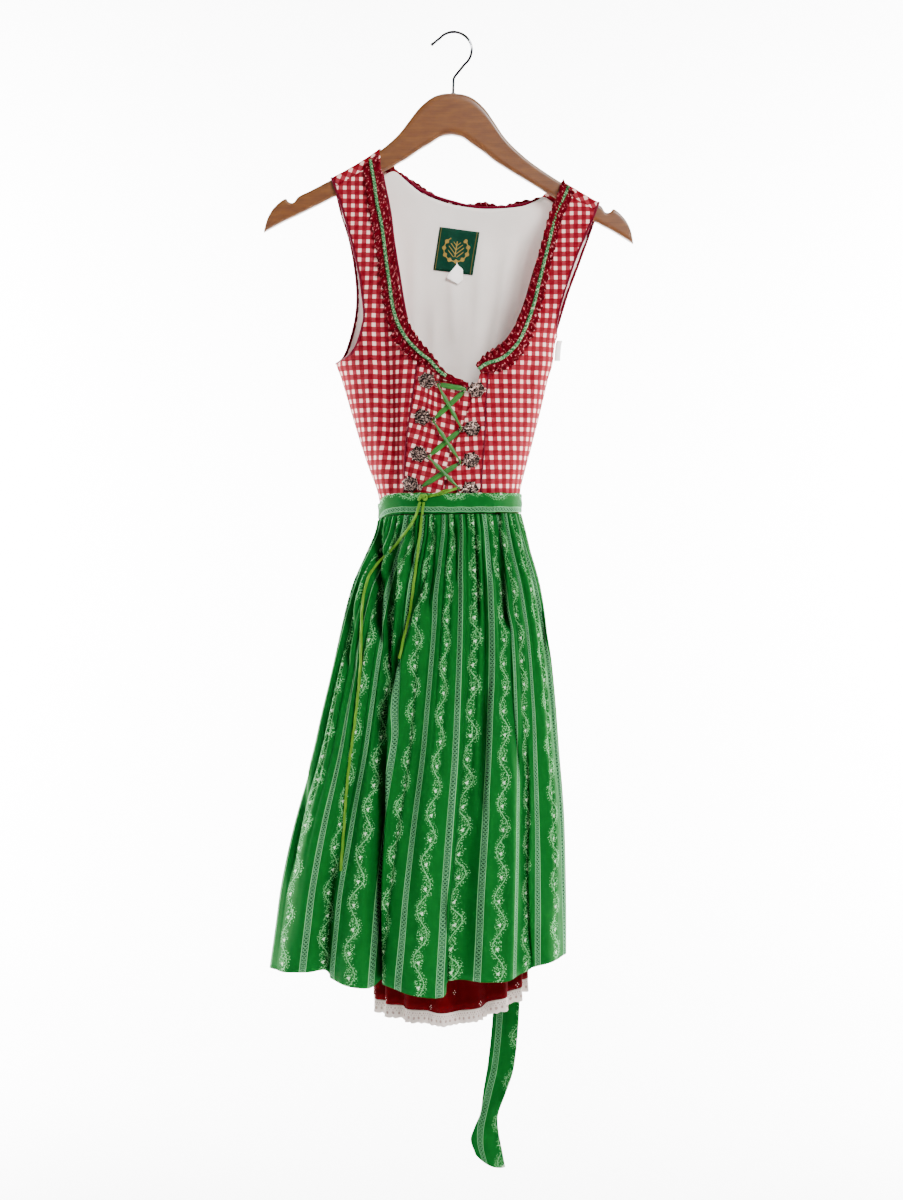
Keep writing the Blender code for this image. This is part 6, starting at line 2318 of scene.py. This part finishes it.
class DIRNDL_OT_hooks(bpy.types.Operator):
    """Sets the eight filigree hooks beside the front opening."""

    bl_idname = "dirndl.hooks"
    bl_label = "Hooks"
    bl_options = {"REGISTER", "UNDO"}

    def execute(self, context):
        build_hooks()
        return {"FINISHED"}


class DIRNDL_OT_lacing(bpy.types.Operator):
    """Threads the satin lacing, ties its knot and lets its two free ends fall."""

    bl_idname = "dirndl.lacing"
    bl_label = "Lacing"
    bl_options = {"REGISTER", "UNDO"}

    def execute(self, context):
        build_lacing()
        build_knot()
        free_end("long-lacing-end", END_LONG, "lacing_end_long", 150)
        free_end("short-lacing-end", END_SHORT, "lacing_end_short", 80)
        return {"FINISHED"}


class DIRNDL_OT_apron(bpy.types.Operator):
    """Gathers the striped apron into its waistband."""

    bl_idname = "dirndl.apron"
    bl_label = "Apron"
    bl_options = {"REGISTER", "UNDO"}

    def execute(self, context):
        build_apron()
        build_band()
        return {"FINISHED"}


class DIRNDL_OT_ties(bpy.types.Operator):
    """Takes the apron's ties round the waist to a knot with two tails."""

    bl_idname = "dirndl.ties"
    bl_label = "Apron ties"
    bl_options = {"REGISTER", "UNDO"}

    def execute(self, context):
        build_ties()
        return {"FINISHED"}


class DIRNDL_OT_skirt(bpy.types.Operator):
    """Hangs the red skirt with the lace at its hem."""

    bl_idname = "dirndl.skirt"
    bl_label = "Skirt"
    bl_options = {"REGISTER", "UNDO"}

    def execute(self, context):
        build_skirt()
        return {"FINISHED"}


class DIRNDL_OT_hanger(bpy.types.Operator):
    """Shapes the wooden hanger and bends its hook."""

    bl_idname = "dirndl.hanger"
    bl_label = "Hanger"
    bl_options = {"REGISTER", "UNDO"}

    def execute(self, context):
        build_hanger()
        return {"FINISHED"}


class DIRNDL_OT_stage(bpy.types.Operator):
    """Lays the floor, sets the lights and places the camera."""

    bl_idname = "dirndl.stage"
    bl_label = "Stage"
    bl_options = {"REGISTER", "UNDO"}

    def execute(self, context):
        build_stage()
        return {"FINISHED"}


class DIRNDL_PT_steps(bpy.types.Panel):
    """Every step of the dress, in sewing order, with its sizes and colours."""

    bl_label = "Dirndl"
    bl_idname = "DIRNDL_PT_steps"
    bl_space_type = "VIEW_3D"
    bl_region_type = "UI"
    bl_category = "Dirndl"

    def draw(self, context):
        for step in STEPS:
            self.layout.operator(step.bl_idname)
        for settings in (context.scene.dirndl_sizes, context.scene.dirndl_colours):
            box = self.layout.box()
            for name in settings.__annotations__:
                box.prop(settings, name)


STEPS = (
    DIRNDL_OT_bodice,
    DIRNDL_OT_lining,
    DIRNDL_OT_ruffles,
    DIRNDL_OT_piping,
    DIRNDL_OT_hooks,
    DIRNDL_OT_lacing,
    DIRNDL_OT_apron,
    DIRNDL_OT_ties,
    DIRNDL_OT_skirt,
    DIRNDL_OT_hanger,
    DIRNDL_OT_stage,
)
CLASSES = (DirndlColours, DirndlSizes, *STEPS, DIRNDL_PT_steps)


def register():
    for made in CLASSES:
        bpy.utils.register_class(made)
    bpy.types.Scene.dirndl_colours = bpy.props.PointerProperty(type=DirndlColours)
    bpy.types.Scene.dirndl_sizes = bpy.props.PointerProperty(type=DirndlSizes)


def unregister():
    del bpy.types.Scene.dirndl_sizes
    del bpy.types.Scene.dirndl_colours
    for made in reversed(CLASSES):
        bpy.utils.unregister_class(made)


def main():
    register()
    for step in STEPS:
        _, name = step.bl_idname.split(".")
        getattr(bpy.ops.dirndl, name)()


if __name__ == "__main__":
    main()
